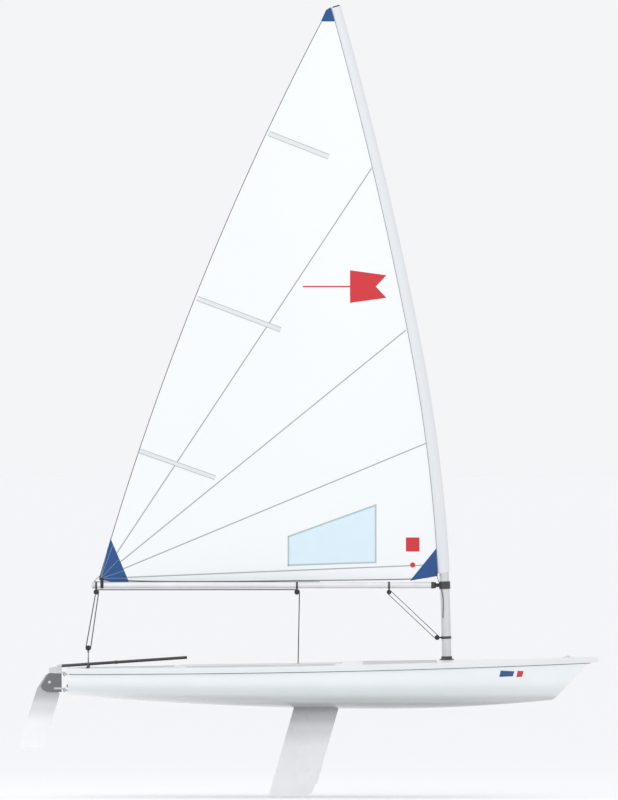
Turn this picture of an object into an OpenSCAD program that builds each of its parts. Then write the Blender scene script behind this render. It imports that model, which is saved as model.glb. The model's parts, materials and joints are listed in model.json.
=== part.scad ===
// Single-handed sailing dinghy: round-bilge hull and deck, unstayed bending mast
// in a sleeved mainsail, boom with sheet and vang blocks, lifting rudder, tiller
// and a sliding daggerboard.
// Frame: +X to the bow, +Y to port, +Z up; the origin is on the waterline amidships.

/* [Hull] */
// Length over the deck
hull_length = 4230; // [3200:10:5400]
// Greatest width over the gunwale
hull_beam = 1370; // [1100:5:1700]
// Width over the gunwale at the transom
transom_width = 1090; // [800:5:1360]
// Height of the sheer above the waterline amidships
sheer_height = 216.5; // [170:0.5:300]
// Depth of the keel line below the waterline
keel_depth = 100; // [70:1:140]
// Rise of the keel line from its lowest point to each end
rocker = 112; // [70:1:150]
// Rake of the stem from the vertical, in degrees
stem_rake = 43.9; // [30:0.1:55]
// Overhang of the gunwale lip outside the hull side
lip_overhang = 22; // [14:1:34]
// Height of the deck edge above the sheer
deck_edge = 30; // [22:1:44]
// Seam left between the hull moulding and the deck moulding
seam = 0.4; // [0.2:0.1:0.8]

/* [Cockpit] */
// Length of the cockpit
cockpit_length = 1288; // [1000:4:1600]
// Width of the cockpit at deck level
cockpit_width = 600; // [440:4:760]
// Height of the cockpit sole above the waterline
sole_height = 55; // [30:1:90]
// Wall thickness of the cockpit moulding
tub_wall = 4; // [3:0.5:8]

/* [Mast] */
// Distance of the mast step forward of amidships, at the waterline
mast_forward = 916.6; // [700:0.1:1150]
// Diameter of the lower mast
lower_mast_diameter = 76; // [60:1:92]
// Length of the lower mast
lower_mast_length = 2360; // [1900:10:2900]
// Diameter of the upper mast
upper_mast_diameter = 64; // [48:1:74]
// Length of the upper mast
upper_mast_length = 3600; // [2900:10:4400]
// Length of the upper mast held inside the lower mast
mast_overlap = 321; // [240:1:400]
// Rake of the straight foot of the mast, in degrees
mast_rake = 1.3; // [0:0.1:4]
// Straight length at the foot of the mast
mast_straight = 650; // [500:5:800]
// Bend radius of the middle of the mast under sail load
lower_bend = 13000; // [9000:100:20000]
// Bend radius of the top of the mast under sail load
upper_bend = 33500; // [20000:100:60000]
// Radial clearance of the mast in its step
step_clearance = 0.6; // [0.3:0.1:1.5]

/* [Boom] */
// Diameter of the boom
boom_diameter = 51; // [40:1:64]
// Length of the boom over its end fittings
boom_length = 2725; // [2200:5:3300]
// Height of the boom above the waterline
boom_height = 883; // [760:1:1000]

/* [Sail] */
// Length of the luff from the tack to the head
luff_length = 4615; // [3700:5:5600]
// Distance of the clew aft of amidships
clew_aft = 1862; // [1500:1:2300]
// Greatest roach of the leech outside a straight line
roach = 122; // [60:1:200]
// Depth of the sail as a share of its chord
camber = 0.07; // [0.03:0.005:0.12]
// Side movement of the leech at mid height
twist = 110; // [0:5:220]
// Thickness of the sail panels as built
cloth = 3; // [2:0.5:5]
// Width of the mast sleeve at its foot
sleeve_foot_width = 94; // [84:1:120]
// Width of the mast sleeve at its head
sleeve_head_width = 76; // [72:1:100]

/* [Rudder] */
// Length of the rudder blade below its pivot bolt
blade_length = 534; // [400:1:680]
// Thickness of the rudder blade
blade_thickness = 18; // [12:1:24]
// Side clearance of the blade in the rudder head
blade_clearance = 5; // [5:0.5:8]
// Diameter of the tiller
tiller_diameter = 24; // [20:1:30]
// Length of the tiller forward of the rudder head
tiller_length = 984; // [700:4:1150]
// Radius of the pintles
pintle_radius = 4; // [3:0.5:6]

/* [Daggerboard] */
// Chord of the daggerboard, measured along the keel
board_chord = 359; // [280:1:430]
// Thickness of the daggerboard
board_thickness = 30; // [22:1:36]
// Depth of the daggerboard tip below the waterline
board_depth = 797; // [620:1:960]
// Rake of the daggerboard from the vertical, in degrees
board_rake = 16; // [8:0.5:22]
// Clearance of the daggerboard in its slot, each side
slot_clearance = 5; // [5:0.5:9]

/* [Hidden] */
lh = hull_length / 2;
tx = lh - 10;                       // transom, aft of amidships
xe = lh - 55;                       // top of the stem
xm = -0.118 * lh;                   // widest station
xk = 0.189 * lh;                    // lowest station
bm = hull_beam / 2;
bt = transom_width / 2;
ck1 = 80;                           // forward wall of the cockpit
ck0 = ck1 - cockpit_length;         // aft wall of the cockpit
cw = cockpit_width / 2;
cs = cw - 60;                       // half width at the sole
rl = lower_mast_diameter / 2;
ru = upper_mast_diameter / 2;
foot_z = -50;
s_b1 = mast_straight;
s_b2 = mast_straight + 2165;
s_top = lower_mast_length + upper_mast_length - mast_overlap;
bore = rl + step_clearance;
br = boom_diameter / 2;
bz = boom_height;
gap = 0.4;
pin_x = -(lh + 21);                 // steering axis
piv = [pin_x - 118, 111.5];         // blade pivot, in x and z
trunk_top = sheer_height + 11.5;
rim_z = sheer_height + 65;
tongue_aft = -250;
tongue_foot = tongue_aft - (trunk_top - sole_height) * tan(board_rake);

// ---------- curves of the hull ----------
function sheer(x) = sheer_height + 44 * x / lh + 20.8 * pow(x / lh, 2);
function keel_line(x) = let (u = x < xk ? (xk - x) / (lh + xk) : (x - xk) / (lh - xk))
    rocker * u * u - keel_depth;
function stem_line(x) = sheer(xe) + (x - xe) / tan(stem_rake);
function keel(x) = let (a = keel_line(x), b = stem_line(x))
    min((a + b + sqrt((a - b) * (a - b) + 81)) / 2, sheer(x) - 6);
function half_beam(x) = x > xm
    ? let (u = min((x - xm) / (lh - xm), 1)) (bm - 30) * (1 - pow(u, 2.2)) + 30 * sqrt(1 - u)
    : let (u = (xm - x) / (xm + lh)) bm - (bm - bt) * pow(u, 1.8);
function fullness(x) = x < 0 ? 2.6 - 0.4 * x / lh : 2.6 - 1.15 * pow(x / lh, 1.2);
function crown(x) = x < ck0 ? 3 + 14 * (x + lh) / (ck0 + lh) : x < 80 ? 17 : 30 - 25.4 * x / lh;
function deck_z(x, y) = sheer(x) + deck_edge + crown(x) * (1 - pow(y / half_beam(x), 2));

hull_xs = concat(
    [for (i = [0:23]) -tx + i * (0.78 * lh + tx) / 24],
    [for (i = [0:20]) 0.78 * lh + i * (xe - 0.78 * lh) / 20]);
deck_xs = concat(
    [2 - lh, -tx - seam - 1.5, -tx - seam],
    [for (x = hull_xs) if (x < 66) x], [68, 92], [for (x = hull_xs) if (x > 94) x],
    [xe + seam, xe + seam + 1.5],
    [for (i = [1:6]) xe + i * (lh - 3 - xe) / 6]);

function hull_ring(x) = let (b = half_beam(x) - lip_overhang, zs = sheer(x), zk = keel(x),
        d = zs - zk, n = 2 / fullness(x), f = 70 * min(1, b / 250) * min(1, d / 200), m = 10)
    [for (k = [-m:m]) let (a = 90 * abs(k) / m, c = pow(cos(a), n),
        y = (b - f * c) * pow(sin(a), n)) [x, k < 0 ? y : -y, zs - d * c]];

function deck_half(x) = let (h = half_beam(x), zs = sheer(x), e = min(8, 0.4 * h),
        aft = x < -tx - seam - 0.5, closed = aft || x > xe + seam + 0.5, low = zs - (aft ? 1.8 : 14),
        yi = max(h - lip_overhang + seam, 0.3 * h), zi = closed ? low + 2 : zs + seam,
        zt = deck_z(x, h - e))
    concat(
        [for (q = [0, 0.2, 0.4, 0.6, 0.78, 0.92, 1]) [q * (h - e), deck_z(x, q * (h - e))]],
        [[h - 0.25 * e, zt - 0.25 * e], [h, zt - e], [h, low + 0.4 * e],
         [h - 0.4 * e, low], [yi, low], [yi, zi], [0, zi]]);
function deck_ring(x) = let (p = deck_half(x), n = len(p))
    concat([for (q = p) [x, q[0], q[1]]], [for (k = [n - 2:-1:1]) [x, -p[k][0], p[k][1]]]);

// ---------- curves of the mast and the sail ----------
x_b0 = mast_forward - foot_z * tan(mast_rake);
deg = 180 / PI;
th2 = mast_rake + (s_b2 - s_b1) / lower_bend * deg;
function arc_end(p, r, a, b) = [p[0] - r * (cos(a) - cos(b)), p[1] + r * (sin(b) - sin(a))];
p_b1 = [x_b0 - s_b1 * sin(mast_rake), foot_z + s_b1 * cos(mast_rake)];
p_b2 = arc_end(p_b1, lower_bend, mast_rake, th2);
function mast_angle(s) = s < s_b1 ? mast_rake : s < s_b2
    ? mast_rake + (s - s_b1) / lower_bend * deg : th2 + (s - s_b2) / upper_bend * deg;
function mast_point(s) = s < s_b1 ? [x_b0 - s * sin(mast_rake), foot_z + s * cos(mast_rake)]
    : s < s_b2 ? arc_end(p_b1, lower_bend, mast_rake, mast_angle(s))
    : arc_end(p_b2, upper_bend, th2, mast_angle(s));
// distance along the mast at a height
function mast_at(z) = z < p_b1[1] ? (z - foot_z) / cos(mast_rake) : z < p_b2[1]
    ? s_b1 + lower_bend * (asin(sin(mast_rake) + (z - p_b1[1]) / lower_bend) - mast_rake) / deg
    : s_b2 + upper_bend * (asin(sin(th2) + (z - p_b2[1]) / upper_bend) - th2) / deg;
// a point beside the mast, f forward of its centreline
function beside(s, f) = let (p = mast_point(s), a = mast_angle(s))
    [p[0] + f * cos(a), p[1] + f * sin(a)];

s_head = s_top - 8;
s_tack = s_head - luff_length;
sleeve_ease = 6;                    // a mast this much short of the sleeve widens it
function sleeve_half(s) = let (t = (s - s_tack) / luff_length)
    (sleeve_foot_width * (1 - t) + sleeve_head_width * t) / 2 + max(0, rl + sleeve_ease - 44);
tack_z = beside(s_tack, -sleeve_half(s_tack) - gap)[1];
clew = [-clew_aft, tack_z - 32];
peak = let (p = mast_point(s_head - 125)) [p[0] - 154, p[1]];
top = beside(s_head, -sleeve_half(s_head) - gap);
leech_run = peak - clew;
leech_out = [-leech_run[1], leech_run[0]] / norm(leech_run);
function leech(t) = clew + t * leech_run + 4 * roach * t * (1 - t) * leech_out;
function leech_x(z) = let (t = min(max((z - clew[1]) / leech_run[1], 0), 1.02))
    leech(t)[0] - 0.4 * roach * 4 * t * (1 - t) * (1 - 2 * t) * 0.25;
function luff_x(z) = let (s = mast_at(min(max(z, tack_z), top[1])))
    beside(s, -sleeve_half(s) - gap)[0];
// side position of the sail at a place seen from the side
function belly(x, z) = let (zc = min(max(z, clew[1]), top[1] - 20), a = luff_x(zc),
        b = min(leech_x(zc), a - 60), c = min(max((a - x) / (a - b), 0), 1.05),
        h = (zc - clew[1]) / (top[1] - clew[1]))
    (a - b) * camber * (0.62 + 0.55 * sin(180 * h)) * 4 * c * (1 - c) * (1.25 - 0.5 * c)
        + twist * c * sin(180 * h);

rows = 38;
cols = 22;
vt = 0.972;                          // row at the peak of the leech
function row_s(j) = s_tack + luff_length * (j < rows - 3 ? vt * j / (rows - 3)
    : vt + (1 - vt) * (j - rows + 3) / 3);
function row_end(j) = j <= rows - 3 ? leech(j / (rows - 3))
    : let (t = (j - rows + 3) / 3, e = top + [-3, -1], m = (peak + e) / 2 + [-14, 14])
        (1 - t) * (1 - t) * peak + 2 * t * (1 - t) * m + t * t * e;
// drop of the foot below a straight line from tack to clew
function foot_drop(c) = 36 * (1 - exp(-c / 0.035)) * (1 - exp((c - 1) / 0.12));
function sail_xz(j, c) = let (s = row_s(j), a = beside(s, -sleeve_half(s) - gap), e = row_end(j),
        p = a + c * (e - a)) [p[0], p[1] - foot_drop(c) * pow(1 - j / rows, 24)];
function sail_point(j, i, d) = let (p = sail_xz(j, i / cols))
    [p[0], belly(p[0], p[1]) + d, p[1]];

// ---------- solids from rings ----------
// faces that join m rings of n points and close both ends
function loft_faces(m, n) = concat([[for (j = [0:n - 1]) j]],
    [for (i = [0:m - 2], j = [0:n - 1]) let (a = i * n + j, b = i * n + (j + 1) % n)
        [a, a + n, b]],
    [for (i = [0:m - 2], j = [0:n - 1]) let (a = i * n + j, b = i * n + (j + 1) % n)
        [b, a + n, b + n]],
    [[for (j = [n - 1:-1:0]) (m - 1) * n + j]]);
module loft(rings) {
    m = len(rings);
    n = len(rings[0]);
    polyhedron(points = [for (r = rings, p = r) p], faces = loft_faces(m, n));
}
// faces of a tube whose rings hold n outer points and then n inner points
function tube_faces(m, n) = let (w = 2 * n) concat(
    [for (i = [0:m - 2], j = [0:n - 1]) let (k = (j + 1) % n) [i*w + j, i*w + w + j, i*w + k]],
    [for (i = [0:m - 2], j = [0:n - 1]) let (k = (j + 1) % n) [i*w + k, i*w + w + j, i*w + w + k]],
    [for (i = [0:m - 2], j = [0:n - 1]) let (k = (j + 1) % n)
        [i*w + n + j, i*w + n + k, i*w + w + n + j]],
    [for (i = [0:m - 2], j = [0:n - 1]) let (k = (j + 1) % n)
        [i*w + n + k, i*w + w + n + k, i*w + w + n + j]],
    [for (j = [0:n - 1]) let (k = (j + 1) % n) [j, k, n + j]],
    [for (j = [0:n - 1]) let (k = (j + 1) % n) [k, n + k, n + j]],
    [for (j = [0:n - 1]) let (k = (j + 1) % n, b = (m - 1) * w) [b + k, b + j, b + n + j]],
    [for (j = [0:n - 1]) let (k = (j + 1) % n, b = (m - 1) * w) [b + k, b + n + j, b + n + k]]);

module on_mast(s) {
    p = mast_point(s);
    translate([p[0], 0, p[1]]) rotate([0, -mast_angle(s), 0]) children();
}
// a round bar along the bent mast between two distances that share one bend
module bent(r, bend, s0, s1) {
    a = mast_angle(s0);
    b = mast_angle(s1);
    p = mast_point(s0);
    translate([p[0] - bend * cos(a), 0, p[1] - bend * sin(a)]) rotate([90, 0, 0])
        rotate([0, 0, a]) rotate_extrude(angle = b - a) translate([bend, 0]) circle(r = r);
}
// a thin band where one bend of the mast runs into the next
module bend_band(s, r) {
    on_mast(s - 4) cylinder(r = r + 0.2, h = 8);
}
module ring(r1, r2, h) {
    difference() {
        cylinder(r = r1, h = h);
        translate([0, 0, -1]) cylinder(r = r2, h = h + 2);
    }
}
module rod(a, b, r) {
    d = b - a;
    translate(a) rotate([0, acos(d[2] / norm(d)), atan2(d[1], d[0])]) cylinder(r = r, h = norm(d));
}
// a sheave between two cheeks, its axle along Y
module pulley(r, w) {
    rotate([90, 0, 0]) rotate_extrude() polygon([[0, -w + 3], [r - 4, -w + 3], [r - 7, 0],
        [r - 4, w - 3], [0, w - 3]]);
    for (s = [-1, 1]) translate([0, s * (w - 1), 0]) rotate([90, 0, 0])
        cylinder(r = r, h = 2, center = true);
    rotate([90, 0, 0]) cylinder(r = 4, h = 2 * w + 3, center = true);
}

// ---------- hull and deck ----------
// the cockpit space grown by g on its sides and lowered by g, open through the deck
module cockpit_space(g, top_z) {
    hull() for (i = [0, 1], s = [-1, 1]) {
        x = i == 0 ? ck0 - g + 70 : ck1 + g - 70;
        translate([x, s * (cs + g - 70), sole_height - g]) cylinder(r = 70, h = 1, $fn = 32);
        translate([x, s * (cw + g - 70), top_z]) cylinder(r = 70, h = 1, $fn = 32);
    }
}
// the sloping slot of the daggerboard, grown by g
module board_slot(g, top_z) {
    x0 = -310 * board_chord / 359;
    translate([x0, 0, keel_slot]) rotate([90, 0, 0]) translate([0, 0, -board_thickness / 2 - g])
        linear_extrude(height = board_thickness + 2 * g) polygon([
            [-g, 0], [board_chord + g, 0],
            [board_chord + g + (top_z - keel_slot) * tan(board_rake), top_z - keel_slot],
            [-g + (top_z - keel_slot) * tan(board_rake), top_z - keel_slot]]);
}
keel_slot = -keel_depth - 60;
board_shift = (keel_slot + keel_depth) * tan(board_rake);

module slot_at(g, top_z) {
    translate([board_shift, 0, 0]) board_slot(g, top_z);
}

module hull_shape() {
    color([0.93, 0.95, 0.95]) difference() {
        loft([for (x = hull_xs) hull_ring(x)]);
        cockpit_space(tub_wall + seam, rim_z);
        slot_at(slot_clearance, sheer_height + 60);
        on_mast(0) translate([0, 0, -gap]) cylinder(r = bore, h = 420);
    }
}
module board_recess() {
    translate([ck1 - 12, -46, trunk_top]) cube([117, 92, 120]);
}
module deck() {
    color([0.96, 0.97, 0.97]) difference() {
        loft([for (x = deck_xs) deck_ring(x)]);
        cockpit_space(tub_wall + seam, rim_z);
        board_recess();
        slot_at(slot_clearance, sheer_height + 200);
        on_mast(0) cylinder(r = bore, h = 500);
    }
}
module cockpit_tub() {
    z0 = deck_z(ck0, 0) + 2;
    z1 = deck_z(66, 0) + 2;
    color([0.96, 0.97, 0.97]) difference() {
        union() {
            difference() {
                cockpit_space(tub_wall, rim_z);
                cockpit_space(0, rim_z);
            }
            hull() {
                translate([tongue_aft, -58, trunk_top - 2]) cube([ck1 + 2 - tongue_aft, 116, 2]);
                translate([tongue_aft, -60, trunk_top - 6]) cube([ck1 + 2 - tongue_aft, 120, 2]);
                translate([tongue_foot, -72, sole_height - 2])
                    cube([ck1 + 2 - tongue_foot, 144, 2]);
            }
        }
        translate([0, bm, 0]) rotate([90, 0, 0]) linear_extrude(height = hull_beam) polygon([
            [ck0 - 50, z0 - 50 * (z1 - z0) / (ck1 - ck0)],
            [ck1 + 50, z1 + 50 * (z1 - z0) / (ck1 - ck0)],
            [ck1 + 50, z1 + 300], [ck0 - 50, z1 + 300]]);
        board_recess();
        slot_at(slot_clearance, sheer_height + 200);
    }
}
module mast_step_ring() {
    s = mast_at(deck_z(mast_forward - 6, 0)) + 0.9;
    color([0.12, 0.12, 0.13]) on_mast(s) difference() {
        union() {
            cylinder(r = rl + 20, h = 6);
            cylinder(r = rl + 9, h = 11);
        }
        translate([0, 0, -5]) cylinder(r = bore, h = 30);
    }
}
module bow_eye() {
    x = lh - 241;
    slope = atan2(deck_z(x + 30, 0) - deck_z(x - 30, 0), 60);
    color([0.72, 0.73, 0.74]) translate([x, 0, deck_z(x, 0) + 0.5]) rotate([0, -slope, 0])
        difference() {
            union() {
                translate([-40, -9, 0]) cube([80, 18, 3]);
                translate([-13, -3.5, 2]) cube([26, 7, 4]);
                translate([0, 0, 9]) rotate([90, 0, 0]) cylinder(r = 8.5, h = 7, center = true);
            }
            translate([0, 0, 9.5]) rotate([90, 0, 0]) cylinder(r = 5.5, h = 20, center = true);
            for (s = [-1, 1]) translate([s * 30, 0, -1]) cylinder(r = 2.4, h = 6);
        }
}
// a transom fitting whose eye carries a pintle, from z to z + h
module gudgeon(z, h) {
    color([0.70, 0.71, 0.72]) difference() {
        union() {
            translate([-tx - 3 - gap, -16, z - 9]) cube([3, 32, h + 18]);
            translate([pin_x, -5, z]) cube([-tx - gap - pin_x, 10, h]);
            translate([pin_x, 0, z]) cylinder(r = 10, h = h);
        }
        translate([pin_x, 0, z - 1]) cylinder(r = pintle_radius + 0.4, h = h + 2);
        for (s = [-1, 1], y = [-1, 1]) translate([-tx, y * 10.5, z + h / 2 + s * (h / 2 + 3)])
            rotate([0, -90, 0]) cylinder(r = 2, h = 6);
    }
}
module gudgeon_upper() { gudgeon(164, 18); }
module gudgeon_lower() { gudgeon(37, 18); }

tr_x = -(lh - 170);                 // traveller, seen from the side
tr_y = 440;
tr_z = 352;
module fairlead(s) {
    z = deck_z(tr_x, tr_y);
    tilt = atan2(deck_z(tr_x, tr_y + 20) - deck_z(tr_x, tr_y - 20), 40);
    color([0.13, 0.13, 0.14]) translate([tr_x, s * tr_y, z + 0.6]) rotate([s * tilt, 0, 0])
        difference() {
            union() {
                translate([-17, -11, 0]) cube([34, 22, 4]);
                translate([0, 0, 10.6]) rotate([90, 0, 0]) cylinder(r = 10, h = 12, center = true);
                translate([-9, -6, 2]) cube([18, 12, 6]);
            }
            translate([0, 0, 10.6]) rotate([90, 0, 0]) cylinder(r = 3.6, h = 30, center = true);
            for (k = [-1, 1]) translate([k * 13.5, 0, -1]) cylinder(r = 1.8, h = 8);
        }
}
module fairlead_port() { fairlead(1); }
module fairlead_starboard() { fairlead(-1); }
// one rope through both fairleads and over the block, with a knot at each end
module traveller_line() {
    z = deck_z(tr_x, tr_y) + 11.2;
    half = [[tr_y + 20, z, 7], [tr_y + 7, z, 7], [tr_y + 6.6, z, 3], [tr_y - 9, z, 3],
        [12, tr_z - 0.4, 3], [4, tr_z, 3]];
    path = concat(half, [for (i = [len(half) - 1:-1:0]) [-half[i][0], half[i][1], half[i][2]]]);
    color([0.16, 0.16, 0.18]) loft([for (p = path) [for (a = [0:45:315])
        [tr_x + p[2] * cos(a), p[0], p[1] + p[2] * sin(a)]]]);
}
module traveller_block() {
    color([0.10, 0.10, 0.11]) translate([tr_x, 0, tr_z]) union() {
        difference() {
            union() {
                translate([0, 0, 1]) rotate([90, 0, 0]) cylinder(r = 8, h = 7, center = true);
                translate([-5, -3.5, 3]) cube([10, 7, 18]);
            }
            rotate([90, 0, 0]) cylinder(r = 3.5, h = 20, center = true);
        }
        translate([0, 0, 32]) pulley(20, 8);
    }
}
rb_z = 150;                         // ratchet block, up the aft face of the tongue
module ratchet_block() {
    color([0.10, 0.10, 0.11]) translate([tongue_aft - (trunk_top - rb_z) * tan(board_rake), 0, rb_z])
        rotate([0, board_rake - 90, 0]) translate([0, 0, gap + 0.2]) union() {
            translate([-17, -15, 0]) cube([34, 30, 4]);
            translate([-7, -4.5, 2]) cube([14, 9, 18]);
            translate([0, 0, 27]) pulley(22, 9);
        }
}
module hiking_strap() {
    z0 = sole_height + 0.5;
    xa = ck0 + 0.6;
    path = [[-346, z0], [-396, z0], [-450, z0 + 22], [-700, z0 + 44], [-960, z0 + 62],
        [xa + 22, z0 + 76], [xa + 3, z0 + 84], [xa, z0 + 96], [xa, z0 + 140]];
    up = [[0, 3], [0.6, 3], [0.6, 3], [0.2, 3], [0.2, 3], [1, 3], [2.4, 2], [3, 0.6], [3, 0]];
    color([0.12, 0.13, 0.16]) loft([for (i = [0:len(path) - 1]) let (p = path[i], q = p + up[i])
        [[p[0], 25, p[1]], [q[0], 25, q[1]], [q[0], -25, q[1]], [p[0], -25, p[1]]]]);
}
module strap_plate() {
    color([0.70, 0.71, 0.72]) translate([0, 0, sole_height + 4]) difference() {
        translate([-388, -29, 0]) cube([22, 58, 3]);
        for (s = [-1, 1]) translate([-377, s * 19, -1]) cylinder(r = 2.5, h = 6);
    }
}
module transom_bung() {
    color([0.15, 0.15, 0.16]) translate([-tx - gap, 250, 78]) rotate([0, -90, 0]) union() {
        cylinder(r = 18, h = 3);
        cylinder(r = 13, h = 8);
        translate([-11, -2, 6]) cube([22, 4, 8]);
    }
}
module cockpit_drain() {
    color([0.15, 0.15, 0.16]) translate([ck0 + 130, 120, sole_height + gap]) difference() {
        cylinder(r = 26, h = 4);
        for (a = [0:45:315]) rotate([0, 0, a]) translate([15, 0, -1]) cylinder(r = 3, h = 6);
    }
}

// ---------- rig ----------
module mast_foot() {
    color([0.15, 0.15, 0.16]) on_mast(0.3) cylinder(r = rl, h = 20);
}
module mast_lower() {
    color([0.78, 0.79, 0.80]) difference() {
        union() {
            on_mast(20.6) cylinder(r = rl, h = s_b1 - 21.6);
            bend_band(s_b1, rl);
            bent(rl, lower_bend, s_b1 + 1, lower_mast_length);
        }
        bent(ru + 0.3, lower_bend, lower_mast_length - mast_overlap, lower_mast_length + 20);
    }
}
module mast_upper() {
    color([0.78, 0.79, 0.80]) union() {
        bent(ru, lower_bend, lower_mast_length - mast_overlap + 2, s_b2 - 1);
        bend_band(s_b2, ru);
        bent(ru, upper_bend, s_b2 + 1, s_top - 12);
    }
}
module mast_joint_collar() {
    color([0.15, 0.15, 0.16]) on_mast(lower_mast_length + 0.4) ring(rl, ru + 0.35, 10);
}
module mast_collar() {
    s = mast_at(deck_z(mast_forward - 6, 0)) + 14;
    color([0.15, 0.15, 0.16]) on_mast(s) ring(rl + 6, rl + 0.3, 14);
}
module mast_head_cap() {
    color([0.13, 0.13, 0.14]) on_mast(s_top - 11.6) union() {
        cylinder(r = ru, h = 8);
        cylinder(r = ru - 6, h = 12);
    }
}
gz = mast_at(bz);
bx1 = mast_point(gz)[0] - rl - 47;  // forward end of the boom
bx0 = bx1 - boom_length;
module gooseneck() {
    color([0.60, 0.61, 0.62]) difference() {
        union() {
            on_mast(gz - 30) cylinder(r = rl + 7, h = 60);
            translate([bx1 + gap, -10, bz - 15]) cube([60, 20, 30]);
            translate([bx1 + 8, 0, bz - 24]) cylinder(r = 7.5, h = 48);
        }
        on_mast(gz - 60) cylinder(r = rl + 0.4, h = 120);
    }
}
module boom() {
    color([0.85, 0.86, 0.87]) translate([bx0 + 22, 0, bz]) rotate([0, 90, 0])
        ring(br, br - 3, boom_length - 44);
}
module boom_cap(s) {
    rotate([0, 90 * s, 0]) union() {
        cylinder(r = br + 1.5, h = 22 - gap);
        translate([0, 0, -30]) cylinder(r = br - 3.3, h = 31);
    }
}
module boom_cap_forward() {
    color([0.09, 0.09, 0.10]) translate([bx1 - 22 + gap, 0, bz]) boom_cap(1);
}
module boom_cap_aft() {
    color([0.09, 0.09, 0.10]) translate([bx0 + 22 - gap, 0, bz]) boom_cap(-1);
}
// a block hung from a band round the boom
module boom_block(x, r, w) {
    color([0.10, 0.10, 0.11]) translate([x, 0, bz]) union() {
        translate([-8, 0, 0]) rotate([0, 90, 0]) ring(br + 2.4, br + 0.3, 16);
        translate([-6, -3.5, -55 + r - 12]) cube([12, 7, 55 - r + 12 - br - 0.8]);
        translate([0, 0, -55]) pulley(r, w);
    }
}
be_x = bx0 + 34;
bm_x = -283;
module boom_end_block() { boom_block(be_x, 21, 8); }
module boom_middle_block() { boom_block(bm_x, 21, 8); }
vb_x = bx1 - 358;
module vang_boom_block() { boom_block(vb_x, 19, 8); }
vm_z = 466;
module vang_mast_block() {
    s = mast_at(vm_z);
    p = mast_point(s);
    color([0.10, 0.10, 0.11]) union() {
        on_mast(s - 10) ring(rl + 3, rl + 0.35, 20);
        translate([p[0] - rl - 34, -3.5, vm_z - 6]) cube([33, 7, 12]);
        translate([p[0] - rl - 34, 0, vm_z]) pulley(20, 8);
    }
}
module clew_strap() {
    x = clew[0] + 26;
    w = belly(x, clew[1] + 16) - cloth / 2;
    color([0.10, 0.10, 0.11]) union() {
        translate([x - 11, 0, bz]) rotate([0, 90, 0]) ring(br + 2.6, br + 0.3, 22);
        translate([x - 11, w - 4.6, bz + br + 1]) cube([22, 2.8, clew[1] + 14 - bz - br]);
        translate([x - 11, w - 4.6, bz + br + 0.8]) cube([22, 7 - w, 1.6]);
    }
}
module sail_body(d) {
    n = cols + 1;
    k = (rows + 1) * n;
    ring_low = [for (i = [0:cols]) i];
    pts = concat([for (j = [0:rows], i = [0:cols]) sail_point(j, i, -d)],
        [for (j = [0:rows], i = [0:cols]) sail_point(j, i, d)]);
    f = concat(
        [for (j = [0:rows - 1], i = [0:cols - 1]) let (a = j * n + i) [a, a + 1, a + n]],
        [for (j = [0:rows - 1], i = [0:cols - 1]) let (a = j * n + i) [a + 1, a + n + 1, a + n]],
        [for (j = [0:rows - 1], i = [0:cols - 1]) let (a = k + j * n + i) [a, a + n, a + 1]],
        [for (j = [0:rows - 1], i = [0:cols - 1]) let (a = k + j * n + i)
            [a + 1, a + n, a + n + 1]],
        [for (i = [0:cols - 1]) [i, k + i, i + 1]],
        [for (i = [0:cols - 1]) [i + 1, k + i, k + i + 1]],
        [for (i = [0:cols - 1]) let (a = rows * n + i) [a, a + 1, k + a]],
        [for (i = [0:cols - 1]) let (a = rows * n + i) [a + 1, k + a + 1, k + a]],
        [for (j = [0:rows - 1]) let (a = j * n) [a, a + n, k + a]],
        [for (j = [0:rows - 1]) let (a = j * n) [a + n, k + a + n, k + a]],
        [for (j = [0:rows - 1]) let (a = j * n + cols) [a, k + a, a + n]],
        [for (j = [0:rows - 1]) let (a = j * n + cols) [a + n, k + a, k + a + n]]);
    polyhedron(points = pts, faces = f);
}
// the window outline, seen from the side, drawn in by g
module window_prism(g) {
    w = bx1 - 464;
    z = clew[1] + 109.8;
    k = luff_length / 4615;
    translate([0, 700, 0]) rotate([90, 0, 0]) linear_extrude(height = 1000) polygon([
        [w - 696 + g, z + g], [w - 696 + g, z + 229 * k - g],
        [w - g, z + 480 * k - g], [w - g, z + 23 * k + g]]);
}
module sail() {
    color([0.97, 0.98, 0.98]) difference() {
        sail_body(cloth / 2);
        window_prism(0);
    }
}
module sail_window() {
    color([0.80, 0.89, 0.95, 0.7]) intersection() {
        sail_body(cloth / 2);
        window_prism(0.5);
    }
}
module luff_sleeve() {
    n = 20;
    m = rows + 1;
    pts = [for (j = [0:rows]) let (s = row_s(j), a = sleeve_half(s), t = s - lower_mast_length,
            ri = ((t < 30 ? rl : t > 260 ? ru : rl + (ru - rl) * (t - 30) / 230) + 0.8)
                / cos(180 / n))
        each concat(
            [for (i = [0:n - 1]) let (u = a * cos(360 * i / n), v = (ri + 2.5) * sin(360 * i / n),
                p = beside(max(s, s_tack + 14 + 0.3 * u), u)) [p[0], v, p[1]]],
            [for (i = [0:n - 1]) let (u = ri * cos(360 * i / n), v = ri * sin(360 * i / n),
                p = beside(max(s, s_tack + 14 + 0.3 * u), u)) [p[0], v, p[1]]])];
    color([0.93, 0.94, 0.94]) polyhedron(points = pts, faces = tube_faces(m, n));
}
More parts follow.
